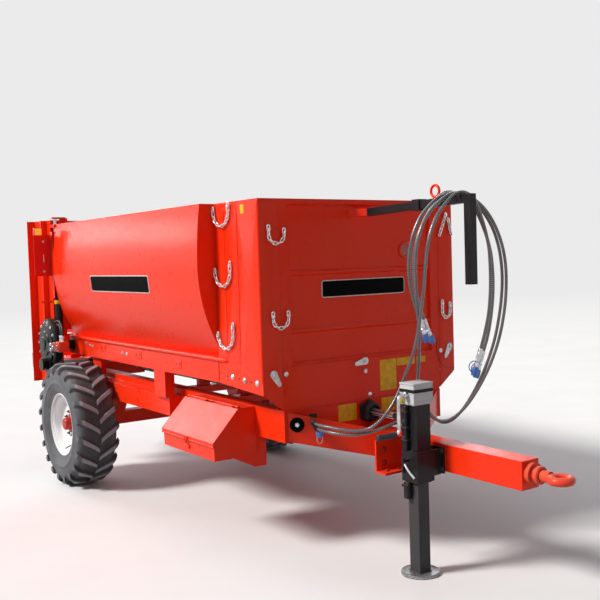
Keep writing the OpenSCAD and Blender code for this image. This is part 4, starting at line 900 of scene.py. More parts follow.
@dataclass
class Studio:
    """Camera at the photograph's viewing angle, plain pale floor, soft key light and even sky.

    Attributes:
        eye: The camera's place.
        azimuth: Turn of the view to the machine's right, in degrees.
        down: Tilt downwards, in degrees.
        roll: Turn about the line of sight, in degrees.
        focus: Focal length in widths of the image.
        pale: Brightness that the background shows.
    """

    eye: Point = (4.621, -2.953, 1.528)
    azimuth: float = 54.94
    down: float = 2.803
    roll: float = -1.757
    focus: float = 863.4 / 600.0
    pale: float = 0.83
    floor_reach: float = 60.0

    def camera(self) -> None:
        """Set the camera: right, up and back axes from azimuth, tilt and roll."""
        a, e, r = (math.radians(v) for v in (self.azimuth, self.down, self.roll))
        right = Vector((math.cos(a), math.sin(a), 0.0))
        back = Vector((math.sin(a) * math.cos(e), -math.cos(a) * math.cos(e), math.sin(e)))
        over = back.cross(right)
        across = right * math.cos(r) + over * math.sin(r)
        up = over * math.cos(r) - right * math.sin(r)
        data = bpy.data.cameras.new("photo_camera")
        data.sensor_fit = "HORIZONTAL"
        data.sensor_width = 36.0
        data.lens = 36.0 * self.focus
        data.clip_end = 500.0
        obj = bpy.data.objects.new("photo_camera", data)
        turn = Matrix((across, up, back)).transposed().to_4x4()
        obj.matrix_world = Matrix.Translation(Vector(self.eye)) @ turn
        bpy.context.scene.collection.objects.link(obj)
        bpy.context.scene.camera = obj

    def lamp(self, name: str, direction: Point, strength: float, spread: float, tint: Point) -> None:
        """Add a sun lamp that shines from a direction.

        Args:
            name: The lamp's name.
            direction: From the machine towards the lamp.
            strength: Watts on a square metre.
            spread: Width of the lamp in the sky, in degrees.
            tint: Its colour.
        """
        data = bpy.data.lights.new(name, "SUN")
        data.energy = strength
        data.angle = math.radians(spread)
        data.color = tint
        obj = bpy.data.objects.new(name, data)
        obj.rotation_euler = Vector(direction).to_track_quat("Z", "Y").to_euler()
        bpy.context.scene.collection.objects.link(obj)

    def sky(self) -> None:
        """Even sky: dim for diffuse light, pale for what the camera, gloss and glass see."""
        world = bpy.data.worlds.new("studio_sky")
        world.use_nodes = True
        tree = world.node_tree
        tree.nodes.clear()
        rays = tree.nodes.new("ShaderNodeLightPath")
        seen = tree.nodes.new("ShaderNodeMath")
        seen.operation = "MAXIMUM"
        all_seen = tree.nodes.new("ShaderNodeMath")
        all_seen.operation = "MAXIMUM"
        tree.links.new(rays.outputs["Is Camera Ray"], seen.inputs[0])
        tree.links.new(rays.outputs["Is Glossy Ray"], seen.inputs[1])
        tree.links.new(seen.outputs[0], all_seen.inputs[0])
        tree.links.new(rays.outputs["Is Transmission Ray"], all_seen.inputs[1])
        dim, pale = (tree.nodes.new("ShaderNodeBackground") for _ in range(2))
        dim.inputs["Color"].default_value = (0.96, 0.97, 1.0, 1.0)
        dim.inputs["Strength"].default_value = 0.23
        pale.inputs["Color"].default_value = (1.0, 1.0, 1.0, 1.0)
        pale.inputs["Strength"].default_value = self.pale
        mix = tree.nodes.new("ShaderNodeMixShader")
        out = tree.nodes.new("ShaderNodeOutputWorld")
        tree.links.new(all_seen.outputs[0], mix.inputs["Fac"])
        tree.links.new(dim.outputs[0], mix.inputs[1])
        tree.links.new(pale.outputs[0], mix.inputs[2])
        tree.links.new(mix.outputs[0], out.inputs["Surface"])
        bpy.context.scene.world = world

    def floor(self) -> None:
        """Lay a round floor whose far part fades into the sky's own brightness.

        The disc is a grid of radius and angle; its material mixes a matt floor with an emission
        as bright as the sky, by the distance from the machine.
        """
        radius = np.concatenate([[0.0], np.geomspace(0.5, self.floor_reach, 24)])
        turn = np.linspace(0, TAU, 65)
        surface = np.stack([radius[:, None] * np.cos(turn), radius[:, None] * np.sin(turn),
                            np.zeros((len(radius), len(turn)))], axis=-1)
        points, corners, sizes, _ = weld_mesh(grid(surface, closed=False))
        faces = [list(map(int, part)) for part in np.split(corners, np.cumsum(sizes)[:-1])]
        mesh = bpy.data.meshes.new("floor")
        mesh.from_pydata(points.tolist(), [], faces)
        obj = bpy.data.objects.new("floor", mesh)
        bpy.context.scene.collection.objects.link(obj)
        r = Recipe("floor_pale")
        cloud = r.span(r.noise(1.3, 4.0), 0.3, 0.7)
        rays = r.node("ShaderNodeLightPath")
        seen = r.times(rays.outputs["Is Camera Ray"], rays.outputs["Is Glossy Ray"], "MAXIMUM")
        pale = r.mix(cloud, (0.8, 0.8, 0.805, 1), (0.84, 0.84, 0.845, 1))
        r.join(r.mix(seen, (0.4, 0.4, 0.4, 1), pale), r.shader.inputs["Base Color"])
        r.set(Roughness=0.9, Specular_IOR_Level=0.1)
        glow = r.node("ShaderNodeEmission")
        glow.inputs["Strength"].default_value = self.pale
        length = r.node("ShaderNodeVectorMath", operation="LENGTH")
        r.join(r.place, length.inputs[0])
        far = r.span(length.outputs["Value"], 5.0, 26.0)
        mix = r.node("ShaderNodeMixShader")
        r.join(far, mix.inputs["Fac"])
        r.join(r.shader.outputs["BSDF"], mix.inputs[1])
        r.join(glow.outputs[0], mix.inputs[2])
        out = next(n for n in r.tree.nodes if n.type == "OUTPUT_MATERIAL")
        r.join(mix.outputs[0], out.inputs["Surface"])
        mesh.materials.append(r.material)
        if mesh.polygons[0].normal.z < 0:
            mesh.flip_normals()

    def build(self) -> None:
        """Set up the whole studio."""
        bpy.context.scene.view_settings.view_transform = "Standard"
        self.camera()
        self.lamp("key", (-0.3, -0.8, 0.72), 3.5, 14.0, (1.0, 0.972, 0.93))
        self.lamp("sheen", (-0.85, -0.12, 0.44), 1.2, 30.0, (0.96, 0.97, 1.0))
        self.lamp("rim", (-0.8, 0.56, 0.26), 0.6, 26.0, (0.96, 0.97, 1.0))
        for turn in (201.0, 206.0):
            way = math.radians(turn)
            self.lamp(f"strip_{turn:.0f}", (math.cos(way), math.sin(way), 0.112), 0.054, 5.0, (1.0, 0.97, 0.98))
        self.sky()
        self.floor()
        LOG.info("studio ready")


# ---------------------------------------------------------------- hoses


@dataclass
class Hose:
    """One free hose: its route in millimetres from the hopper's front plate, and its end.

    Attributes:
        name: The node that it replaces.
        route: Points that it passes, as in the part's source.
        straight: Direction of its gland, from the housing outwards.
    """

    name: str
    route: tuple[tuple[int, int, int], ...]
    straight: Point

    def path(self) -> Array:
        """Return the smooth centreline in the row frame, in metres."""
        points = np.array(self.route, float) / 1000.0 + np.array([ROW_FRONT, 0.0, 0.0])
        return smooth_path(points, 6)


@dataclass
class HoseSet:
    """The four hydraulic hoses with glands, ferrules, couplings, caps and cap straps."""

    paints: Paints
    diameter: float = 0.016
    hoses: list[Hose] = field(default_factory=lambda: [
        Hose("hose_p1", (
            (89, -431, 697), (101, -439, 697), (137, -448, 697), (204, -443, 694), (279, -415, 687),
            (343, -371, 681), (389, -324, 689), (432, -291, 723), (467, -255, 779), (483, -212, 847),
            (492, -184, 909), (518, -181, 962), (564, -199, 1010), (608, -209, 1076), (643, -213, 1164),
            (679, -225, 1263), (705, -231, 1363), (722, -231, 1467), (731, -223, 1563), (736, -198, 1644),
            (737, -152, 1715), (737, -90, 1774), (737, -34, 1806), (737, 20, 1809), (737, 68, 1786),
            (737, 106, 1733), (736, 146, 1645), (734, 175, 1552), (730, 187, 1452), (726, 189, 1345),
            (720, 182, 1240), (710, 162, 1139), (698, 131, 1030)), (0.83, -0.556, 0.0)),
        Hose("hose_p2", (
            (97, -419, 671), (109, -427, 671), (148, -438, 670), (218, -432, 666), (292, -403, 661),
            (351, -354, 661), (396, -289, 675), (450, -232, 705), (484, -180, 736), (491, -133, 785),
            (494, -100, 851), (504, -94, 920), (535, -114, 994), (584, -153, 1085), (628, -192, 1181),
            (663, -231, 1279), (686, -259, 1375), (698, -271, 1472), (705, -265, 1564), (708, -237, 1646),
            (709, -187, 1716), (709, -117, 1770), (709, -45, 1804), (709, 17, 1809), (709, 72, 1783),
            (709, 123, 1722), (709, 175, 1633), (708, 212, 1540), (705, 230, 1440), (701, 234, 1333),
            (695, 225, 1223), (687, 205, 1117), (676, 171, 1013)), (0.83, -0.556, 0.0)),
        Hose("hose_q1", (
            (24, 215, 705), (39, 215, 705), (106, 221, 709), (182, 225, 696), (256, 222, 666), (316, 224, 648),
            (365, 239, 654), (408, 265, 684), (450, 298, 739), (488, 334, 815), (522, 367, 901), (550, 394, 991),
            (573, 414, 1085), (590, 427, 1182), (605, 431, 1280), (617, 426, 1375), (629, 409, 1466),
            (638, 380, 1550), (646, 337, 1628), (651, 283, 1698), (655, 221, 1752), (655, 151, 1791),
            (651, 77, 1811), (647, 7, 1813), (643, -56, 1794), (637, -115, 1753), (630, -168, 1698),
            (622, -204, 1628), (614, -224, 1551), (606, -227, 1468), (598, -212, 1383), (592, -182, 1295),
            (586, -139, 1201)), (1.0, 0.0, 0.0)),
        Hose("hose_q2", (
            (24, 252, 712), (39, 252, 712), (99, 256, 706), (180, 258, 684), (254, 252, 652), (310, 249, 636),
            (356, 259, 645), (394, 280, 677), (431, 310, 735), (467, 342, 816), (499, 371, 905), (526, 395, 998),
            (548, 413, 1093), (565, 424, 1190), (580, 428, 1287), (593, 423, 1382), (604, 406, 1471),
            (613, 378, 1555), (621, 337, 1631), (626, 284, 1698), (629, 222, 1752), (628, 148, 1793),
            (624, 72, 1815), (621, 17, 1820), (616, -28, 1801), (610, -68, 1755), (601, -117, 1682),
            (592, -153, 1606), (583, -170, 1529), (574, -168, 1447), (566, -152, 1362), (559, -121, 1276),
            (554, -76, 1186)), (1.0, 0.0, 0.0)),
    ])

    def gland(self, start: Array, direction: Array) -> list[Shell]:
        """Return the gland behind a hose's start: nut on the plate, collar, tapered bend guard.

        Args:
            start: First point of the hose.
            direction: Way the hose leaves.

        Returns:
            The gland's shells.
        """
        nut = lathe([(0, -0.0235), (0.0145, -0.0235), (0.0145, -0.009), (0.0125, -0.007), (0, -0.007)], 6)
        collar = lathe([(0, -0.008), (0.0118, -0.008), (0.0125, -0.006), (0.0125, 0.006), (0.0116, 0.008), (0, 0.008)],
                       28)
        guard = lathe([(0, 0.006), (0.0128, 0.006), (0.0132, 0.012), (0.0112, 0.034), (0.0101, 0.05), (0.0, 0.0505)],
                      28)
        return [part.placed(start, (0.0, 0.0, 1.0), direction) for part in (nut, collar, guard)]

    def coupling(self, end: Array, direction: Array) -> tuple[list[Shell], list[Shell], list[Shell]]:
        """Return the shells of one coupling: metal sleeve, blue cap and its looped strap.

        Args:
            end: Last point of the hose.
            direction: Way the hose runs there.

        Returns:
            Metal, cap and strap shells.
        """
        metal = [
            lathe([(0, -0.034), (0.0104, -0.034), (0.0112, -0.03), (0.0112, -0.02), (0.0106, -0.018), (0.0106, -0.014),
                   (0.0112, -0.012), (0.0112, -0.003), (0.0104, 0.001), (0, 0.001)], 28),
            lathe([(0, 0.0), (0.0118, 0.0), (0.0118, 0.017), (0, 0.018)], 6),
            lathe([(0, 0.018), (0.0098, 0.018), (0.0098, 0.026), (0.0119, 0.028), (0.0119, 0.034), (0.0104, 0.036),
                   (0.0104, 0.043), (0.0119, 0.045), (0.0119, 0.056), (0.0096, 0.06), (0, 0.06)], 32),
        ]
        turn = np.linspace(0, TAU, 73)
        height = np.array([0.0585, 0.059, 0.062, 0.066, 0.094, 0.099, 0.1012, 0.1018])
        radius = np.array([0.0, 0.0138, 0.0156, 0.0158, 0.0154, 0.0146, 0.0125, 0.0])
        ribbed = radius[:, None] * (1 - 0.035 * (np.cos(turn * 18)[None] > 0) * (radius[:, None] > 0.0145))
        cap = grid(np.stack([ribbed * np.cos(turn), ribbed * np.sin(turn), np.repeat(height[:, None], 73, 1)], axis=-1))
        loop_turn = np.linspace(0, TAU, 33)
        ring = sweep(np.stack([0.0122 * np.cos(loop_turn), 0.0122 * np.sin(loop_turn), np.full(33, 0.031)], axis=1),
                     circle(0.0016, 8), ring=True)
        bend = np.linspace(0, math.pi, 15)
        strap_line = np.stack([0.0135 + 0.034 * np.sin(bend), 0 * bend, 0.031 + 0.054 * (1 - np.cos(bend)) / 2], axis=1)
        strap = sweep(strap_line, rounded_box(0.0055, 0.0018, 0.0008, 2), hint=(0, 1, 0))
        side = (0.0, -1.0, 0.3)

        def put(parts: list[Shell]) -> list[Shell]:
            """Place parts at the hose's end."""
            return [part.placed(end, side, direction) for part in parts]

        return put(metal), put([cap]), put([ring, strap])

    def build(self) -> None:
        glands: list[Shell] = []
        for hose in self.hoses:
            path = hose.path()
            tube_piece = piece(f"{hose.name}_tube", [sweep(path, circle(self.diameter / 2, 20))], self.paints.hose,
                               "frame", crease=60.0)
            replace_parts(tube_piece, hose.name)
            direction = unit(path[-1] - path[-2])
            metal, cap, strap = self.coupling(path[-1], direction)
            ends = [
                piece(f"{hose.name}_coupling", metal, self.paints.bright, "frame"),
                piece(f"{hose.name}_cap", cap, self.paints.blue, "frame"),
                piece(f"{hose.name}_strap", strap, self.paints.blue, "frame"),
            ]
            node = "couplings_p" if hose.name in ("hose_p1", "hose_p2") else "couplings_q"
            for end in ends:
                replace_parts(end, node)
            glands += self.gland(path[0], np.array(hose.straight))
        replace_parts(piece("hose_fittings", glands, self.paints.black, "frame"), "hose_glands")


# ---------------------------------------------------------------- wheels


@dataclass
class Tyre:
    """Field tyre: turned carcass with rings on its side, and two staggered rows of curved lugs.

    Attributes:
        side: -1 on the machine's right, 1 on its left.
        axle_x: X of the axle.
        middle_y: Distance of the tyre's middle from the machine's middle.
        outer_r: Radius over the lugs.
        half: Half of the tyre's width.
        lug_h: Height of a lug.
        lugs: Lugs in each row.
    """

    paints: Paints
    side: int
    axle_x: float = -1.217
    middle_y: float = 0.795
    outer_r: float = 0.4225
    half: float = 0.145
    lug_h: float = 0.024
    lugs: int = 20
    bead_r: float = 0.2165

    def carcass(self) -> Shell:
        """Return the carcass: a closed profile of radius and width, turned round the axle.

        The profile runs from bead to bead over the crown, then back inside.
        """
        r, h = self.outer_r - self.lug_h, self.half
        outer = [(self.bead_r, -0.1135), (0.2185, -0.1148), (0.224, -0.1205), (0.2365, -0.1235), (0.239, -0.1265),
                 (0.2435, -0.1265), (0.246, -0.1285), (0.262, -0.1352), (0.286, -0.1408), (0.2885, -0.1425),
                 (0.2925, -0.1425), (0.295, -0.1412), (0.32, -0.1405), (0.3435, -0.139), (r - 0.036, -h + 0.011),
                 (r - 0.018, -h + 0.02), (r - 0.006, -h + 0.038), (r - 0.0012, -h + 0.06), (r, -0.045), (r, 0.0)]
        crown = outer + [(radius, -y) for radius, y in outer[-2::-1]]
        inner = [(self.bead_r, 0.092), (0.26, 0.108), (0.32, 0.118), (r - 0.03, 0.098), (r - 0.022, 0.05)]
        under = inner + [(radius, -y) for radius, y in inner[::-1]]
        line = np.array(crown + under + crown[:1])
        return lathe(line, 128)

    def lug_rows(self) -> Shell:
        """Return all lugs: a rounded box section carried along curved lines on the crown.

        A lug's line starts near the middle and bends towards the shoulder, so its turn about the
        axle is a lead angle times a rising power of its share of the half width; the section is
        narrow on top and wide at its foot. All lugs are worked out together as one array.
        """
        share = np.linspace(0.0, 1.0, 13)
        across = 0.004 + (self.half - 0.004) * share
        lead = (-0.007 + 0.094 * share ** 0.86) / self.outer_r
        top = self.outer_r - 0.0325 * np.clip((across - 0.097) / 0.048, 0, 1) ** 2.1
        foot = self.outer_r - self.lug_h - 0.004 - 0.036 * np.clip((across - 0.085) / 0.06, 0, 1) ** 1.6
        width = 0.0165 - 0.0015 * np.cos(share * math.pi)
        ring = np.array([[-1.35, 0], [-1.0, 0.82], [-0.94, 0.95], [-0.8, 1.0], [0.8, 1.0], [0.94, 0.95],
                         [1.0, 0.82], [1.35, 0], [-1.35, 0]])
        size = np.concatenate([[0.0], np.ones(len(share)), [0.0]])

        def pad(row: Array) -> Array:
            """Repeat a row's first and last value, for a lug's closed ends."""
            return np.concatenate([row[:1], row, row[-1:]])

        across, lead, top, foot, width = (pad(row) for row in (across, lead, top, foot, width))
        turn = lead[:, None] + ring[None, :, 0] * (width * size)[:, None] / self.outer_r
        middle = (top + foot) / 2
        radius = foot[:, None] + ring[None, :, 1] * (top - foot)[:, None]
        radius = np.where(size[:, None] > 0, radius, middle[:, None])
        step = TAU / self.lugs
        start = (np.arange(self.lugs) * step)[:, None, None]
        out = []
        for row_sign, shift in ((1.0, 0.0), (-1.0, step / 2)):
            angle = turn[None] + start + shift
            wide = np.broadcast_to(across[:, None] * row_sign, angle.shape)
            out.append(np.stack([radius[None] * np.cos(angle), radius[None] * np.sin(angle), wide], axis=-1))
        rows = np.concatenate([out[0], out[1][:, :, ::-1]])
        return many(rows)

    def build(self) -> None:
        """Make the tyre and let it stand for the node on its side."""
        name = "right" if self.side < 0 else "left"
        middle = (self.axle_x, self.side * self.middle_y, self.outer_r)
        shells = [self.carcass(), self.lug_rows()]
        put = [shell.placed(middle, (0.0, 0.0, 1.0), (0.0, float(self.side), 0.0)) for shell in shells]
        tyre = piece(f"tyre_tread_{name}", put, self.paints.rubber, f"wheel_{name}", crease=30.0)
        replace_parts(tyre, f"tyre_{name}")


# ---------------------------------------------------------------- small parts


class Facing(Enum):
    """Way that a flat fitting looks: directions of its own X and of its own Z."""

    FRONT = ((0.0, 1.0, 0.0), (1.0, 0.0, 0.0))
    BACK = ((0.0, -1.0, 0.0), (-1.0, 0.0, 0.0))
    RIGHT = ((1.0, 0.0, 0.0), (0.0, -1.0, 0.0))
    LEFT = ((-1.0, 0.0, 0.0), (0.0, 1.0, 0.0))
    UP = ((1.0, 0.0, 0.0), (0.0, 0.0, 1.0))
    DOWN = ((1.0, 0.0, 0.0), (0.0, 0.0, -1.0))
    NOSE = ((0.556, 0.831, 0.0), (0.831, -0.556, 0.0))


def spread(shells: Sequence[Shell], spots: Iterable[Sequence[float]], facing: Facing) -> list[Shell]:
    """Return a copy of the shells at every spot, turned one way."""
    return [shell.placed(spot, *facing.value) for spot in spots for shell in shells]


def both_sides(shells: Sequence[Shell]) -> list[Shell]:
    """Return the shells with their mirror images on the machine's other side."""
    return list(shells) + [shell.mirrored() for shell in shells]


def outline(points: Sequence[Sequence[float]], radius: float = 0.003, steps: int = 3) -> Array:
    """Round the corners of an anticlockwise outline.

    Each corner is a quadratic curve: (1 - t)^2 a + 2 t (1 - t) corner + t^2 b, where a and b lie
    radius before and after the corner.

    Args:
        points: Corners in two columns.
        radius: Distance from a corner to where its curve starts.
        steps: Samples on each curve.

    Returns:
        The closed outline, its first point repeated.
    """
    p = np.asarray(points, float)
    before, after = unit(np.roll(p, 1, axis=0) - p), unit(np.roll(p, -1, axis=0) - p)
    t = np.linspace(0, 1, steps + 1)[None, :, None]
    a, b = (p + before * radius)[:, None], (p + after * radius)[:, None]
    curve = ((1 - t) ** 2 * a + 2 * t * (1 - t) * p[:, None] + t ** 2 * b).reshape(-1, 2)
    return np.vstack([curve, curve[:1]])


def box_shell(low: Sequence[float], high: Sequence[float], edge: float = 0.0015) -> Shell:
    """Return an upright plate between two corners, with a rounded rim round its upper and lower face."""
    a, b = np.minimum(low, high), np.maximum(low, high)
    size, middle = b - a, (a + b) / 2
    corner = min(edge * 1.5, size[0] / 3, size[1] / 3)
    return slab(rounded_box(size[0], size[1], corner, 2), size[2], edge).moved((middle[0], middle[1], a[2]))


def weld(path: Sequence[Sequence[float]], radius: float = 0.005) -> Shell:
    """Return a weld bead: a round line whose radius swells by a sixth at every ripple.

    The radius is radius * (1 + sin(tau * run / 6 mm) / 6), with run the length along the path.

    Args:
        path: Corners of the seam.
        radius: Mean radius of the bead.

    Returns:
        The closed bead.
    """
    p = np.asarray(path, float)
    run = np.concatenate([[0.0], np.cumsum(np.linalg.norm(np.diff(p, axis=0), axis=1))])
    at = np.linspace(0, run[-1], max(int(run[-1] / 0.003), 8))
    line = np.stack([np.interp(at, run, p[:, k]) for k in range(3)], axis=1)
    return sweep(line, circle(1.0, 6), scale=radius * (1 + np.sin(TAU * at / 0.006) / 6), hint=(0.31, 0.22, 0.9))


def bent_plate(width: float, height: float, corner: float, lift: Sequence[float], rows: int = 25) -> Array:
    """Return a thin plate with round corners as rings across its length, to be laid on a curved wall.

    The half height at a place x is H / 2 - c + sqrt(c^2 - max(0, |x| - (W / 2 - c))^2).

    Args:
        width: Length W.
        height: Height H.
        corner: Radius c of the corners.
        lift: Distance of the plate's back and of its front from the wall.
        rows: Samples along each half.

    Returns:
        Rings by samples by three: place along, height, and distance from the wall.
    """
    end = width / 2 * np.sin(np.linspace(-math.pi / 2, math.pi / 2, 2 * rows + 1))
    inside = np.maximum(0.0, np.abs(end) - (width / 2 - corner))
    half = height / 2 - corner + np.sqrt(np.maximum(corner ** 2 - inside ** 2, 0.0))
    share = np.linspace(-1, 1, 9)
    front = np.stack([half[:, None] * share, np.full((len(end), 9), lift[1])], axis=-1)
    back = np.stack([half[:, None] * share[::-1], np.full((len(end), 9), lift[0])], axis=-1)
    ring = np.concatenate([front, back, front[:, :1]], axis=1)
    ring[0] = ring[0].mean(axis=0)
    ring[-1] = ring[-1].mean(axis=0)
    return np.concatenate([np.repeat(end[:, None, None], ring.shape[1], axis=1), ring], axis=-1)


# ---------------------------------------------------------------- hopper


@dataclass
class Hopper:
    """Sheets, beads, blank plates, chains and catches on the outside of the hopper.

    Attributes:
        front_x: X of the front plate.
        field_x: X of the recessed field in the front plate.
        wall_y: Distance of the front section's side sheets from the middle.
        sheet: Thickness of the cover sheets.
    """

    paints: Paints
    front_x: float = ROW_FRONT
    field_x: float = ROW_FRONT - 0.014
    wall_y: float = 0.6635
    sheet: float = 0.002
    link_pitch: float = 0.0239
    link_width: float = 0.0212
    link_rod: float = 0.0064
    link_off: float = 0.0132

    def side_sheets(self) -> None:
        """Cover sheets on both sides of the front section, with open slits between them."""
        strips = [((0.59, 1.01), (0.6855, 1.796)), ((0.6895, 0.99), (0.8165, 1.796)), ((0.8205, 0.905), (1.014, 1.812))]
        shells = []
        for (x0, z0), (x1, z1) in strips:
            line = outline([(x0, z0), (x1, z0), (x1, z1), (x0, z1)], 0.004)
            shells.append(slab(line, self.sheet, 0.0007).placed((0, -self.wall_y, 0), *Facing.RIGHT.value))
        piece("side_sheets", both_sides(shells), self.paints.red, "frame")

    def front_sheets(self) -> None:
        """Corner sheets of the front plate and the pressed lips beside the recessed field."""
        line = outline([(-0.6615, 0.85), (-0.548, 0.765), (-0.548, 1.815), (-0.6615, 1.815)], 0.004)
        shells = both_sides([slab(line, self.sheet, 0.0007).placed((self.front_x, 0, 0), *Facing.FRONT.value)])
        lip = [tube(np.array(path), 0.0022, 8) for path in (
            [(self.front_x, -0.487, 1.79), (self.front_x, 0.487, 1.79)],
            [(self.front_x, -0.487, 0.992), (self.front_x, 0.487, 0.992)],
            [(self.front_x, -0.487, 0.992), (self.front_x, -0.487, 1.79)],
            [(self.front_x, 0.487, 0.992), (self.front_x, 0.487, 1.79)])]
        piece("front_sheets", shells + lip, self.paints.red, "frame")

    def ledges(self) -> None:
        """Round beads along the top of both side sills, closed by a round nose at the front."""
        x = np.concatenate([np.linspace(-1.625, 0.64, 40), 0.64 + 0.04 * np.sin(np.linspace(0.1, 1, 9) * math.pi / 2)])
        path = np.column_stack([x, np.full_like(x, -self.wall_y - 0.001), np.full_like(x, 0.9955)])
        size = np.ones(len(x))
        size[40:] = np.cos(np.linspace(0.1, 1, 9) * math.pi / 2) * 0.985 + 0.015
        bead = sweep(path, circle(0.0125, 14), scale=size)
        piece("sill_ledges", both_sides([bead]), self.paints.red, "frame")

    def plates(self) -> None:
        """Blank name plates: a pale border plate with a black plate on it, flat in front, bent on the sides."""
        centre = (self.field_x, 0.0125, 1.3605)
        pale = [slab(rounded_box(0.575, 0.091, 0.014), 0.0014, 0.0005).placed(centre, *Facing.FRONT.value)]
        dark = [slab(rounded_box(0.566, 0.082, 0.011), 0.0022, 0.0005).placed(centre, *Facing.FRONT.value)]
        for width, height, lift, shells in ((0.896, 0.106, (-0.001, 0.0012), pale),
                                            (0.886, 0.096, (0.0002, 0.002), dark)):
            ring = bent_plate(width, height, 0.014, lift)
            z = 1.3985 + ring[..., 1]
            low = -0.113 + np.sqrt(0.889 ** 2 - (1.5 - z) ** 2)
            surface = np.stack([-0.476 + ring[..., 0], -(low + ring[..., 2]), z], axis=-1)
            shells.extend(both_sides([grid(surface)]))
        piece("name_plate_borders", pale, self.paints.plate_white, "frame")
        piece("name_plates", dark, self.paints.plate_black, "frame")

    def labels(self) -> None:
        """Blank yellow plates on the front, the cross plate and the side sheets."""
        boxes = [(0.095, 0.212, 0.787, 0.955), (0.218, 0.351, 0.913, 0.955), (0.366, 0.434, 0.916, 0.95),
                 (-0.2, -0.076, 0.652, 0.741), (0.1, 0.228, 0.67, 0.746)]
        shells = []
        for y0, y1, z0, z1 in boxes:
            line = rounded_box(y1 - y0, z1 - z0, 0.004)
            shells.append(slab(line, 0.0012, 0.0004).placed((self.front_x, (y0 + y1) / 2, (z0 + z1) / 2),
                                                            *Facing.FRONT.value))
        tag = slab(rounded_box(0.034, 0.046, 0.004), 0.0012, 0.0004)
        shells += both_sides(spread([tag], [(0.874, -self.wall_y - self.sheet, 1.782)], Facing.RIGHT))
        piece("blank_labels", shells, self.paints.yellow, "frame")

    def hanging(self, radius: float, count: int, shift: float) -> Array:
        """Return the line of a hanging chain in its plane.

        At a length s from the lowest point the line is (r sin(s / r), -r cos(s / r)), and past a
        quarter turn it goes straight up.

        Args:
            radius: Radius r of the half circle.
            count: Number of links.
            shift: Length that the middle link lies beyond the lowest point.

        Returns:
            Points in two columns.
        """
        s = shift + np.linspace(-0.5, 0.5, 12 * count) * count * self.link_pitch * 1.0005
        quarter = radius * math.pi / 2
        bend = np.clip(s, -quarter, quarter) / radius
        return np.column_stack([radius * np.sin(bend), np.maximum(np.abs(s) - quarter, 0.0) - radius * np.cos(bend)])

    def chains(self) -> None:
        """Chains of round links across the seams, each with its two pegs."""
        wall = (self.wall_y, self.link_off)
        links: list[Shell] = []
        pegs: list[Shell] = []
        pin = [lathe([(0, -0.0132), (0.0042, -0.0132), (0.0042, 0.0045), (0.0072, 0.0045), (0.0076, 0.0052),
                      (0.0072, 0.0078), (0, 0.0082)], 16)]
        for spot, shift in (((0.676, 1.783), 0.009), ((0.676, 1.468), 0.017), ((0.686, 1.139), 0.026)):
            flat = self.hanging(0.078, 13, shift) + np.array(spot)
            path = np.column_stack([flat[:, 0], np.full(len(flat), -sum(wall)), flat[:, 1]])
            links += both_sides(chain(path, self.link_pitch, self.link_width, self.link_rod, math.pi / 2, (0, -1, 0)))
            pegs += both_sides(spread(pin, (path[9], path[-10]), Facing.RIGHT))
        x = self.front_x + self.link_off
        for spot, radius, shift in (((-0.5655, 1.649), 0.046, -0.008), ((-0.5535, 1.224), 0.046, 0.0),
                                    ((0.5955, 1.19), 0.03, -0.008)):
            flat = self.hanging(radius, 9, shift) + np.array(spot)
            path = np.column_stack([np.full(len(flat), x), flat])
            links += chain(path, self.link_pitch, self.link_width, self.link_rod, math.pi / 2, (1, 0, 0))
            pegs += spread(pin, (path[9], path[-10]), Facing.FRONT)
        for spot, count, lean in (((0.6085, 1.754), 6, -24.0), ((0.6255, 1.724), 4, 14.0)):
            way = np.array([0.0, math.sin(math.radians(lean)), -math.cos(math.radians(lean))])
            start = np.array([x, *spot]) - way * 0.004
            path = start + way * np.linspace(0, count * self.link_pitch * 1.0005, 24)[:, None]
            links += chain(path, self.link_pitch, self.link_width, self.link_rod, math.pi / 2, (1, 0, 0))
            pegs += spread(pin, [start + way * 0.009], Facing.FRONT)
        for made, name in ((links, "seam_chain_links"), (pegs, "seam_chain_pegs")):
            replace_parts(piece(name, made, self.paints.zinc, "frame", crease=50.0), "seam_chains")

    def catches(self) -> None:
        """Cam levers on the front plate: a domed disc with a tapering arm, and a round bolt beside each; also a thin
        dark arc of painted shadow round the recess by the left lever.
        """
        turn = np.linspace(0, TAU, 49)
        reach = 0.062
        radius = np.where(np.cos(turn) > 0.15, 0.0115, 0.0205)
        arm = np.column_stack([radius * np.cos(turn) + np.where(np.cos(turn) > 0.15, reach, 0.0),
                               radius * np.sin(turn)])
        blade = slab(arm, 0.0075, 0.0025).moved((0, 0, 0.0025))
        dome = lathe([(0, 0), (0.0205, 0), (0.0212, 0.003), (0.0205, 0.0095), (0.0175, 0.0122), (0.0085, 0.0128),
                      (0.0078, 0.0165), (0, 0.0172)], 32)
        knob = [lathe([(0, 0), (0.0135, 0), (0.0138, 0.003), (0.0125, 0.0062), (0.0075, 0.0092), (0, 0.0098)], 28)]
        shells = []
        for y, z, lean in ((-0.603, 0.948, 30.0), (-0.012, 0.962, -80.0), (0.62, 0.988, -30.0)):
            way = math.radians(lean - 90.0)
            along = (0.0, math.cos(way), math.sin(way))
            shells += [s.placed((self.front_x + 0.0005, y, z), along, (1.0, 0.0, 0.0)) for s in (blade, dome)]
        shells += spread(knob, [(self.front_x + 0.001, y, z) for y, z in ((-0.527, 0.942), (-0.01, 0.906),
                                                                          (0.552, 0.97))],
                         Facing.FRONT)
        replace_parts(piece("cam_catches", shells, self.paints.lever, "frame"), "cam_levers")
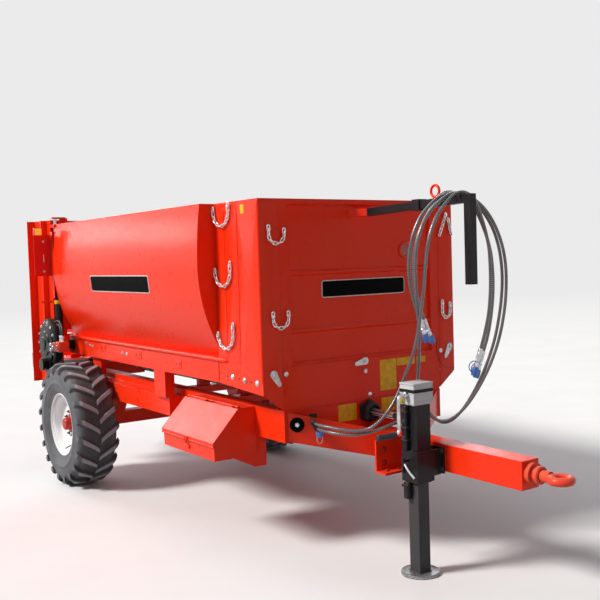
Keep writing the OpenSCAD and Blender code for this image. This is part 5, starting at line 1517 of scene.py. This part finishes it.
        # Painted shadow: a thin dark arc along the edge of the recess round the left cam lever.
        bend = np.linspace(math.radians(150), math.radians(285), 25)
        shadow_arc = np.column_stack([np.full(25, self.front_x + 0.0022), 0.628 + 0.105 * np.cos(bend),
                               0.985 + 0.125 * np.sin(bend)])
        piece("hatch_shadow_line", [sweep(shadow_arc, circle(0.0011, 6))], self.paints.dark_rubber_and_hole_shade, "frame")

    def sill_fittings(self) -> None:
        """Bolts and tabs along the side sills, and dark discs of painted shade where the sills are pierced."""
        y = -self.wall_y
        head = [lathe([(0, 0), (0.0155, 0), (0.0155, 0.002), (0.0125, 0.0028), (0.0122, 0.006), (0.0085, 0.0092),
                       (0, 0.0098)], 28)]
        front = spread(head, [(0.728, y - 0.0006, 0.914), (0.848, y - self.sheet, 0.9065),
                              (0.968, y - self.sheet, 0.904)],
                       Facing.RIGHT)
        pairs = [(-1.262, 0.949), (-1.212, 0.947), (-0.69, 0.938), (-0.622, 0.936), (-1.33, 0.962)]
        small = bolt(0.0085, 0.0075)
        rear = spread(small, [(x, y, z) for x, z in pairs], Facing.RIGHT)
        piece("sill_bolts", both_sides(front + rear), self.paints.bright, "frame")
        # Dark discs of painted shade stand where the sills are pierced.
        dark = [lathe([(0, 0), (0.0055, 0), (0.0055, 0.0006), (0, 0.0007)], 16)]
        spots = [(0.672, y, 0.913), (0.788, y - 0.0004, 0.91), (0.908, y - self.sheet, 0.9055)]
        tabs, hole_shades = [], spread(dark, spots, Facing.RIGHT)
        for x, z in ((-1.015, 0.95), (-0.445, 0.943), (0.106, 0.931)):
            tabs.append(slab(rounded_box(0.084, 0.052, 0.008), 0.0022, 0.0008).placed((x, y, z), *Facing.RIGHT.value))
            hole_shades += spread(dark, [(x - 0.018, y - 0.0021, z), (x + 0.018, y - 0.0021, z)], Facing.RIGHT)
        piece("sill_tabs", both_sides(tabs), self.paints.red, "frame")
        piece("sill_hole_shades", both_sides(hole_shades), self.paints.dark_rubber_and_hole_shade, "frame")

    def front_fittings(self) -> None:
        """Round sight ring in the recessed field, the small bolt on the apron, and the round plug."""
        ring = lathe([(0.03, 0.0), (0.046, 0.0), (0.048, 0.004), (0.046, 0.01), (0.041, 0.0135), (0.035, 0.0135),
                      (0.031, 0.01), (0.03, 0.0)], 40)
        at = (self.field_x, 0.313, 1.553)
        piece("sight_ring", [ring.placed(at, *Facing.FRONT.value)], self.paints.worn_red, "frame")
        glass = lathe([(0, 0), (0.0305, 0), (0.0305, 0.0035), (0.02, 0.005), (0, 0.0055)], 32)
        piece("sight_glass", [glass.placed(at, *Facing.FRONT.value)], self.paints.red_lens, "frame")
        body = lathe([(0, 0), (0.037, 0), (0.038, 0.003), (0.038, 0.01), (0.035, 0.0145), (0.03, 0.0155),
                      (0.026, 0.0125),
                      (0.017, 0.0115), (0, 0.0115)], 40)
        plug = (self.front_x + 0.0167, -0.478, 0.681)
        piece("round_plug", [body.placed(plug, *Facing.NOSE.value)], self.paints.plate_black, "frame")
        star = np.linspace(0, TAU, 61)
        wide = 0.0105 * (1 + 0.16 * np.cos(5 * star))
        core = slab(np.column_stack([wide * np.cos(star), wide * np.sin(star)]), 0.006, 0.0012).moved((0, 0, 0.0105))
        dot = spread(bolt(0.0075, 0.007), [(self.front_x, 0.0205, 0.7775)], Facing.FRONT)
        piece("plug_core", [core.placed(plug, *Facing.NOSE.value)] + dot, self.paints.bright, "frame")

    def build(self) -> None:
        """Make every fitting of the hopper."""
        self.side_sheets()
        self.front_sheets()
        self.ledges()
        self.plates()
        self.labels()
        self.chains()
        self.catches()
        self.sill_fittings()
        self.front_fittings()


# ---------------------------------------------------------------- drawbar and jack


@dataclass
class Drawbar:
    """Fittings of the drawbar: coupler on the nose plate, shaft guard, bolts, stays and weld seams."""

    paints: Paints
    front_x: float = ROW_FRONT
    shaft_z: float = 0.69

    def nose_spot(self, run: float, z: float, off: float = 0.0) -> Point:
        """Return a place on the right nose plate: run along it from its rear end, and off it outwards."""
        along, out = (np.array(v) for v in Facing.NOSE.value)
        flat = np.array([self.front_x, -0.503, 0.0]) + along * run + out * off
        return (float(flat[0]), float(flat[1]), z)

    def coupler(self) -> None:
        """Bulkhead coupler with its cap and hanging strap, and the rubber grommet of the hoses."""
        spot = self.nose_spot(0.142, 0.638)
        ring = lathe([(0, 0), (0.0215, 0), (0.0225, 0.002), (0.0215, 0.009), (0.016, 0.01), (0.016, 0.022),
                      (0.018, 0.024),
                      (0.018, 0.03), (0, 0.031)], 32)
        cap = lathe([(0, 0.03), (0.0185, 0.03), (0.0195, 0.033), (0.0192, 0.052), (0.0165, 0.0575), (0.008, 0.0585),
                     (0.0075, 0.064), (0, 0.0645)], 32)
        piece("nose_coupler", [ring.placed(spot, *Facing.NOSE.value)], self.paints.head_grey, "frame")
        piece("nose_coupler_cap", [cap.placed(spot, *Facing.NOSE.value)], self.paints.blue, "frame")
        turn = np.linspace(0, TAU, 41)
        loop = np.column_stack([0.014 * np.sin(turn), -0.022 + 0.03 * np.cos(turn), 0.047 + 0.012 * np.cos(turn)])
        strap = sweep(loop, circle(0.0021, 8), ring=True).placed(spot, *Facing.NOSE.value)
        piece("nose_coupler_strap", [strap], self.paints.white, "frame")
        mat = slab(rounded_box(0.042, 0.09, 0.01), 0.005, 0.0018).placed(self.nose_spot(0.112, 0.69),
                                                                         *Facing.NOSE.value)
        piece("hose_grommet", [mat], self.paints.dark_rubber_and_hole_shade, "frame")

    def shaft_guard(self) -> None:
        """Five-lobed skirt of the shaft guard, its ribs, and the splined sleeve on the shaft's end."""
        turn = np.linspace(0, TAU, 91)
        wide = 0.059 * (1 + 0.12 * np.cos(5 * turn))
        skirt = slab(np.column_stack([wide * np.cos(turn), wide * np.sin(turn)]), 0.012, 0.004)
        cone = lathe([(0.018, 0.004), (0.056, 0.01), (0.0555, 0.02), (0.0525, 0.034), (0.0535, 0.042), (0.051, 0.05),
                      (0.044, 0.058), (0.037, 0.0585), (0.036, 0.04), (0.018, 0.038), (0.018, 0.004)], 48)
        spot = (self.front_x + 0.0005, 0.0, self.shaft_z)
        shells = [s.placed(spot, *Facing.FRONT.value) for s in (skirt, cone)]
        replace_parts(piece("shaft_guard_skirt", shells, self.paints.guard, "frame"), "pto_guard")
        ripple = np.linspace(0, TAU, 73)
        tooth = 0.018 + 0.0011 * np.tanh(3 * np.cos(6 * ripple))
        line = np.column_stack([np.linspace(self.front_x + 0.045, self.front_x + 0.2215, 12), np.zeros(12),
                                np.full(12, self.shaft_z)])
        line = np.vstack([line, line[-1:] + (0.0004, 0, 0)])
        size = np.ones(13)
        size[-1] = 0.93
        sleeve = sweep(line, np.column_stack([tooth * np.cos(ripple), tooth * np.sin(ripple)]), scale=size)
        piece("shaft_splines", [sleeve], self.paints.zinc, "line_shaft")

    def stays(self) -> None:
        """Bolts of the brace plate on the drawbar, and the stay under the toolbox."""
        shells = spread(bolt(0.011, 0.009), [(1.4425, -0.1, 0.585), (1.4425, -0.25, 0.585), (1.4425, -0.25, 0.52)],
                        Facing.FRONT)
        shells += spread(bolt(0.009, 0.008), [(1.472, at, 0.4875) for at in (-0.12, -0.19, -0.26)], Facing.UP)
        piece("drawbar_bolts", shells, self.paints.hub_red, "frame")
        flange = box_shell((0.716, -0.5425, 0.416), (0.721, -0.468, 0.589))
        fin = slab(outline([(-0.684, 0.4868), (-0.5415, 0.418), (-0.5415, 0.4868)], 0.004), 0.005, 0.001)
        piece("toolbox_stay", [flange, fin.placed((0.716, 0, 0), *Facing.FRONT.value)], self.paints.red, "frame")

    def seams(self) -> None:
        """Weld beads where the main members meet."""
        nose = [self.nose_spot(0.004, 0.6, 0.003), self.nose_spot(0.004, 0.735, 0.003)]
        meet = [self.nose_spot(0.53, 0.5, 0.004), self.nose_spot(0.53, 0.607, 0.004)]
        frame_beads = [
            weld(nose, 0.004), weld(meet, 0.004),
            weld([(1.02, -0.057, 0.5), (1.02, -0.057, 0.612)]),
            weld([(1.43, -0.0575, 0.49), (1.43, -0.0575, 0.62)], 0.004),
            weld([(1.019, -0.44, 0.589), (1.019, -0.08, 0.589)], 0.0045),
            weld([(-0.07, -0.545, 0.7115), (-1.3, -0.545, 0.7115)], 0.004),
            weld([(0.58, -0.664, 0.992), (0.58, -0.664, 0.88)], 0.0035)]
        piece("weld_seams", both_sides(frame_beads), self.paints.red, "frame")
        turn = np.linspace(0, TAU, 61)
        collar = np.column_stack([np.full(61, 2.1535), 0.0475 * np.cos(turn), 0.556 + 0.0475 * np.sin(turn)])
        neck = np.column_stack([np.full(61, 2.191), 0.034 * np.cos(turn), 0.556 + 0.034 * np.sin(turn)])
        beads = [sweep(line, circle(0.003, 6), ring=True) for line in (collar, neck)]
        piece("eye_seams", beads, self.paints.worn_red, "eye")

    def build(self) -> None:
        """Make every fitting of the drawbar."""
        self.coupler()
        self.shaft_guard()
        self.stays()
        self.seams()


@dataclass
class Jack:
    """Crank, plug, a dark band of painted shade in the head's slot, latch strip, pin and foot ring of the parking jack.

    Attributes:
        x: X of the jack's axis.
        y: Y of the jack's axis.
        head_y: Y of the head's outer face.
    """

    paints: Paints
    x: float = 1.596
    y: float = -0.172
    head_y: float = -0.233
    tube_y: float = -0.216

    def crank(self) -> None:
        """Bent round crank with a dark turning grip, in place of the plain one."""
        y = self.head_y
        corners = [(self.x, y + 0.002, 0.868), (self.x, y - 0.03, 0.868), (self.x, y - 0.046, 0.863),
                   (self.x, y - 0.0525, 0.845), (self.x, y - 0.0535, 0.78), (self.x, y - 0.0525, 0.719),
                   (self.x, y - 0.056, 0.699), (self.x, y - 0.072, 0.6885), (self.x, y - 0.1, 0.688),
                   (self.x, y - 0.186, 0.688)]
        rod = tube(smooth_path(corners, 8), 0.0092, 18, hint=(1.0, 0.0, 0.0))
        boss = lathe([(0, 0), (0.0165, 0), (0.0165, 0.018), (0.013, 0.021), (0.013, 0.03), (0, 0.031)], 28)
        shells = [rod] + spread([boss], [(self.x, y, 0.868)], Facing.RIGHT)
        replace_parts(piece("jack_crank_rod", shells, self.paints.bright, "frame"), "jack_crank")
        grip = lathe([(0, 0), (0.0128, 0), (0.0145, 0.003), (0.0148, 0.02), (0.0142, 0.06), (0.0148, 0.102),
                      (0.0138, 0.112),
                      (0.01, 0.115), (0, 0.1155)], 28)
        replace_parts(piece("jack_crank_grip", spread([grip], [(self.x, y - 0.074, 0.688)], Facing.RIGHT),
                          self.paints.grip,
                          "frame"), "jack_crank")

    def head(self) -> None:
        """Lid, rib and beads of the head, a dark band of painted shade in its slot, and the yellow plug."""
        x0, x1, y0, y1 = self.x - 0.048, self.x + 0.048, self.head_y, self.y + 0.061
        lid = box_shell((x0 - 0.003, y0 - 0.003, 0.915), (x1 + 0.003, y1 + 0.003, 0.923), 0.003)
        rib = box_shell((x0 - 0.0016, y0 - 0.0016, 0.823), (x1 + 0.0016, y1 + 0.0016, 0.838), 0.0015)
        bead = [box_shell((x0 - 0.002, y0 - 0.002, z), (x1 + 0.002, y1 + 0.002, z + 0.006), 0.0015)
                for z in (0.872, 0.894)]
        piece("jack_head_trim", [lid, rib] + bead, self.paints.head_grey, "frame")
        # Painted shade: a dark band round the head where its slot is.
        band = box_shell((x0 - 0.0012, y0 - 0.0012, 0.878), (x1 + 0.0012, y1 + 0.0012, 0.894), 0.0006)
        piece("jack_head_slot_shade", [band], self.paints.dark_rubber_and_hole_shade, "frame")
        plug = lathe([(0, 0), (0.0155, 0), (0.0155, 0.01), (0.0135, 0.013), (0.0135, 0.019), (0.01, 0.0225),
                      (0, 0.023)], 24)
        piece("jack_plug", spread([plug], [(self.x - 0.028, self.head_y, 0.8425)], Facing.RIGHT), self.paints.lemon,
              "frame")

    def latch(self) -> None:
        """Latch strip with clips on the tube's side, its screws, the pin and the knob below the clamp."""
        y = self.tube_y
        strip = [box_shell((self.x - 0.04, y - 0.022, 0.602), (self.x - 0.006, y, 0.812), 0.003),
                 box_shell((self.x - 0.04, y - 0.02, 0.366), (self.x - 0.004, y + 0.01, 0.447), 0.006)]
        clips = [box_shell((self.x - 0.043, y - 0.027, z), (self.x - 0.001, y + 0.001, z + 0.012), 0.002)
                 for z in (0.64, 0.7, 0.775, 0.425)]
        piece("jack_latch", strip + clips, self.paints.black, "frame")
        pin_line = smooth_path([(self.x - 0.022, y - 0.03, 0.548), (self.x - 0.004, y - 0.038, 0.54),
                                (self.x + 0.028, y - 0.038, 0.508), (self.x + 0.056, y - 0.032, 0.482)], 8)
        screws = spread(bolt(0.0075, 0.006), [(self.x - 0.023, y - 0.022, z) for z in (0.66, 0.74, 0.79)], Facing.RIGHT)
        screws += spread(bolt(0.01, 0.008), [(x, -0.065, z) for x in (1.572, 1.646) for z in (0.497, 0.585)],
                         Facing.RIGHT)
        piece("jack_screws", screws, self.paints.leg_grey, "frame")
        piece("jack_pin", [tube(pin_line, 0.006, 12, (1, 0, 0))], self.paints.bright, "frame")

    def foot(self) -> None:
        """Galvanised rolled rim over the foot disc and the weld round the leg."""
        rim = lathe([(0.036, 0.0121), (0.08, 0.0121), (0.086, 0.015), (0.0915, 0.014), (0.0932, 0.0085), (0.093, 0.002),
                     (0.0905, 0.0004), (0.08, 0.0004), (0.036, 0.011), (0.036, 0.0121)], 56)
        ring = rim.moved((self.x, self.y, 0.0))
        piece("jack_foot_rim", [ring], self.paints.foot_zinc, "jack_leg")
        half_leg = 0.0355
        square = [(self.x + a * half_leg, self.y + b * half_leg, 0.0135) for a,
                  b in ((-1, -1), (1, -1), (1, 1), (-1, 1), (-1, -1))]
        piece("jack_foot_weld", [weld(square, 0.004)], self.paints.leg_grey, "jack_leg")

    def build(self) -> None:
        """Make every fitting of the jack."""
        self.crank()
        self.head()
        self.latch()
        self.foot()


# ---------------------------------------------------------------- toolbox


@dataclass
class Toolbox:
    """Hasp, staple and rolled lip of the slanted toolbox."""

    paints: Paints
    x0: float = 0.152
    x1: float = 0.744
    lip_y: float = -0.8075

    def build(self) -> None:
        """Make the toolbox's fittings on the box and on its lid."""
        middle = (self.x0 + self.x1) / 2
        hasp = slab(outline([(-0.019, 0.018), (-0.008, -0.024), (0.008, -0.024), (0.019, 0.018)], 0.005), 0.003, 0.001)
        v_line = np.array([(-0.021, 0.016, 0.004), (-0.004, -0.02, 0.0055), (0.004, -0.02, 0.0055),
                           (0.021, 0.016, 0.004)])
        wire = tube(smooth_path(v_line, 5), 0.0019, 8)
        lip = np.column_stack([np.linspace(self.x0, self.x1, 8), np.full(8, self.lip_y), np.full(8, 0.563)])
        roll = tube(lip, 0.0032, 10)
        spot = (middle, self.lip_y, 0.566)
        shells = [s.placed(spot, *Facing.RIGHT.value) for s in (hasp, wire)] + [roll]
        piece("toolbox_hasp", shells, self.paints.red, "lid")
        staple = slab(rounded_box(0.05, 0.02, 0.005), 0.0035, 0.001).placed((middle, -0.8005, 0.523),
                                                                            *Facing.RIGHT.value)
        rivets = spread(bolt(0.004, 0.003), [(middle + dx, -0.804, 0.523) for dx in (-0.019, 0.019)], Facing.RIGHT)
        piece("toolbox_staple", [staple] + rivets, self.paints.red, "frame")


# ---------------------------------------------------------------- running gear


@dataclass
class Wheel:
    """Wheel nuts, valve and bead ring of one wheel, and the field tyre round it."""

    paints: Paints
    side: int
    x: float = -1.217
    middle_y: float = 0.795
    z: float = 0.4225

    def build(self) -> None:
        """Make the tyre and the wheel's fittings, all riding on the wheel."""
        Tyre(self.paints, self.side).build()
        name = "right" if self.side < 0 else "left"
        centre = (self.x, self.side * self.middle_y, self.z)
        turn = np.arange(8) * TAU / 8 + 0.3
        pitch_r, hub_face = 0.083, 0.0475
        spots = [(pitch_r * math.cos(a), pitch_r * math.sin(a), hub_face) for a in turn]
        nuts = [s.moved(spot) for spot in spots for s in bolt(0.0095, 0.011, 1.5)]
        stud = lathe([(0, 0), (0.0048, 0), (0.0048, 0.018), (0.004, 0.0195), (0, 0.02)], 12)
        studs = [stud.moved(spot) for spot in spots]
        valve = tube(smooth_path([(-0.16, 0.02, 0.042), (-0.166, 0.02, 0.065), (-0.176, 0.02, 0.088)], 5), 0.0042, 10)
        axis = ((0.0, 0.0, 1.0), (0.0, float(self.side), 0.0))
        piece(f"wheel_nuts_{name}", [s.placed(centre, *axis) for s in nuts + studs + [valve]], self.paints.steel,
              f"wheel_{name}")
        face = [(0.0635, 0.0395), (0.0635, 0.0455), (0.0645, 0.0475), (0.103, 0.0475), (0.1085, 0.046), (0.116, 0.0415),
                (0.135, 0.0405), (0.162, 0.044), (0.178, 0.052), (0.1855, 0.064), (0.188, 0.08), (0.1905, 0.093),
                (0.196, 0.1), (0.2035, 0.104), (0.2065, 0.11), (0.2085, 0.116), (0.2115, 0.1185), (0.215, 0.1175),
                (0.2162, 0.114), (0.215, 0.11)]
        seat = [(0.195, 0.1), (0.1945, 0.0), (0.1945, -0.1), (0.215, -0.11), (0.2162, -0.114), (0.215, -0.1175),
                (0.2115, -0.1185), (0.2085, -0.116), (0.2065, -0.11), (0.2035, -0.104), (0.1905, -0.093),
                (0.1885, -0.03), (0.187, 0.03), (0.179, 0.043), (0.162, 0.037), (0.135, 0.034), (0.115, 0.034),
                (0.104, 0.0395), (0.0635, 0.0395)]
        dish = lathe(face + seat, 96).placed(centre, *axis)
        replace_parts(piece(f"rim_dish_{name}", [dish], self.paints.rim_white, f"wheel_{name}"),
                    f"rim_{name}")


# ---------------------------------------------------------------- rear


@dataclass
class RearDrive:
    """Fittings at the rear: drive housing, hose fittings, cylinder guard, lamp hoods, beater bolts."""

    paints: Paints

    def housing(self) -> None:
        """Round housing with a ribbed rim over the conveyor gearbox, and the motor behind it."""
        spot = (-1.69, -0.7665, 0.95)
        cover = lathe([(0, 0), (0.176, 0), (0.1825, 0.004), (0.185, 0.014), (0.185, 0.046), (0.18, 0.057),
                       (0.166, 0.0635),
                       (0.142, 0.0655), (0.136, 0.0735), (0.095, 0.0775), (0.088, 0.0855), (0.052, 0.0885),
                       (0.046, 0.096),
                       (0, 0.098)], 64)
        turn = np.arange(14) * TAU / 14
        pitch_r, rim_face = 0.155, 0.0642
        screws = [s.moved((pitch_r * math.cos(a), pitch_r * math.sin(a), rim_face))
                  for a in turn for s in bolt(0.0085, 0.008)]
        piece("drive_housing", [cover.placed(spot, *Facing.RIGHT.value)], self.paints.gear, "frame")
        piece("drive_housing_bolts", [s.placed(spot, *Facing.RIGHT.value) for s in screws], self.paints.bright, "frame")
        body = box_shell((-1.475, -0.845, 0.905), (-1.392, -0.765, 0.978), 0.006)
        port = lathe([(0, 0), (0.014, 0), (0.014, 0.012), (0.0105, 0.014), (0.0105, 0.022), (0.0135, 0.024),
                      (0.0135, 0.04),
                      (0.011, 0.043), (0, 0.0435)], 24)
        blocks = [body, box_shell((-1.5, -0.8, 0.925), (-1.475, -0.766, 0.955), 0.003)]
        piece("drive_valve", blocks, self.paints.worn_red, "frame")
        fittings = spread([port], [(-1.455, -0.845, 0.962), (-1.455, -0.845, 0.925), (-1.412, -0.845, 0.945)],
                          Facing.RIGHT)
        fittings += spread([port], [(-1.45, -0.805, 0.978), (-1.415, -0.805, 0.978)], Facing.UP)
        piece("drive_ports", fittings, self.paints.bright, "frame")
        pipes = [tube(smooth_path([(-1.45, -0.805, 1.018), (-1.45, -0.805, 1.05), (-1.48, -0.8, 1.085),
                                   (-1.53, -0.792, 1.095), (-1.58, -0.79, 1.085), (-1.6, -0.79, 1.05)], 6), 0.0075, 14),
                 tube(smooth_path([(-1.415, -0.805, 1.018), (-1.415, -0.805, 1.065), (-1.47, -0.8, 1.112),
                                   (-1.54, -0.792, 1.122), (-1.615, -0.79, 1.105), (-1.63, -0.79, 1.07)], 6), 0.0075,
                      14)]
        piece("drive_pipes", pipes, self.paints.leg_grey, "frame")

    def cylinder_guards(self) -> None:
        """Red channel over the upper half of each gate cylinder, its bracket, and the yellow bands."""
        plate = box_shell((-1.6885, -0.7735, 1.285), (-1.634, -0.7695, 1.775), 0.0015)
        lip = box_shell((-1.6885, -0.7735, 1.285), (-1.6855, -0.7445, 1.775), 0.0012)
        bar = box_shell((-1.6895, -0.858, 1.25), (-1.678, -0.7645, 1.266), 0.002)
        piece("cylinder_guards", both_sides([plate, lip, bar]), self.paints.red, "frame")
        band = lathe([(0.0252, 0), (0.0275, 0.001), (0.0285, 0.004), (0.0285, 0.024), (0.0275, 0.027), (0.0252, 0.028),
                      (0.0252, 0)], 32)
        bands = [band.moved((-1.662, -0.738, z)) for z in (1.24, 1.01)]
        piece("cylinder_bands", both_sides(bands), self.paints.yellow, "frame")

    def lamps(self) -> None:
        """Red hood round each side lamp, rim of the rear lamps, and the screws of the lamp boards."""
        hood = [box_shell((-1.694, -0.8955, 1.752), (-1.66, -0.8925, 1.806), 0.001),
                box_shell((-1.694, -0.8955, 1.8025), (-1.66, -0.838, 1.806), 0.001),
                box_shell((-1.694, -0.8405, 1.752), (-1.66, -0.8375, 1.806), 0.001)]
        piece("marker_hoods", both_sides(hood), self.paints.red, "frame")
        rim = [box_shell((-1.958, -0.855, z), (-1.929, -0.707, z + 0.005), 0.0015) for z in (0.7545, 0.8605)]
        rim += [box_shell((-1.958, y, 0.7545), (-1.929, y + 0.005, 0.8655), 0.0015) for y in (-0.8555, -0.7105)]
        piece("rear_lamp_rims", both_sides(rim), self.paints.plate_black, "frame")
        # These amber lenses use amber_lens, which has a painted glow.
        amber = lathe([(0, 0), (0.02, 0), (0.0205, 0.002), (0.019, 0.006), (0.012, 0.0085), (0, 0.009)], 28)
        spots = [(-1.9635, -0.745, 0.81)]
        piece("rear_lamp_amber", both_sides(spread([amber], spots, Facing.BACK)), self.paints.amber, "frame")
        dots = spread(bolt(0.006, 0.005), [(-1.686, -0.825, 1.705), (-1.686, -0.825, 1.485)], Facing.FRONT)
        slit = slab(rounded_box(0.006, 0.06, 0.0028), 0.0012, 0.0004)
        dots += [slit.placed((-1.686, -0.826, 1.58), *Facing.FRONT.value)]
        piece("lamp_board_screws", both_sides(dots), self.paints.plate_white, "frame")

    def beaters(self) -> None:
        """Bolts of the throwing blades on the beaters' discs."""
        turn = np.arange(8) * TAU / 8
        for side, name in ((-1, "right"), (1, "left")):
            pitch_r = 0.235
            spots = [(-2.034 + pitch_r * math.cos(a), side * 0.33 + pitch_r * math.sin(a), 0.8025) for a in turn]
            piece(f"beater_bolts_{name}", spread(bolt(0.01, 0.009), spots, Facing.UP), self.paints.bright,
                  f"beater_{name}")

    def build(self) -> None:
        """Make every fitting at the rear."""
        self.housing()
        self.cylinder_guards()
        self.lamps()
        self.beaters()


# ---------------------------------------------------------------- main


def main() -> None:
    """Build the studio and dress the machine, sub-assembly by sub-assembly."""
    logging.basicConfig(level=logging.INFO, format="%(message)s")
    Studio().build()
    paints = Paints()
    dress_nodes(paints)
    HoseSet(paints).build()
    Hopper(paints).build()
    Drawbar(paints).build()
    Jack(paints).build()
    Toolbox(paints).build()
    for side in (-1, 1):
        Wheel(paints, side).build()
    RearDrive(paints).build()


if __name__ == "__main__":
    main()
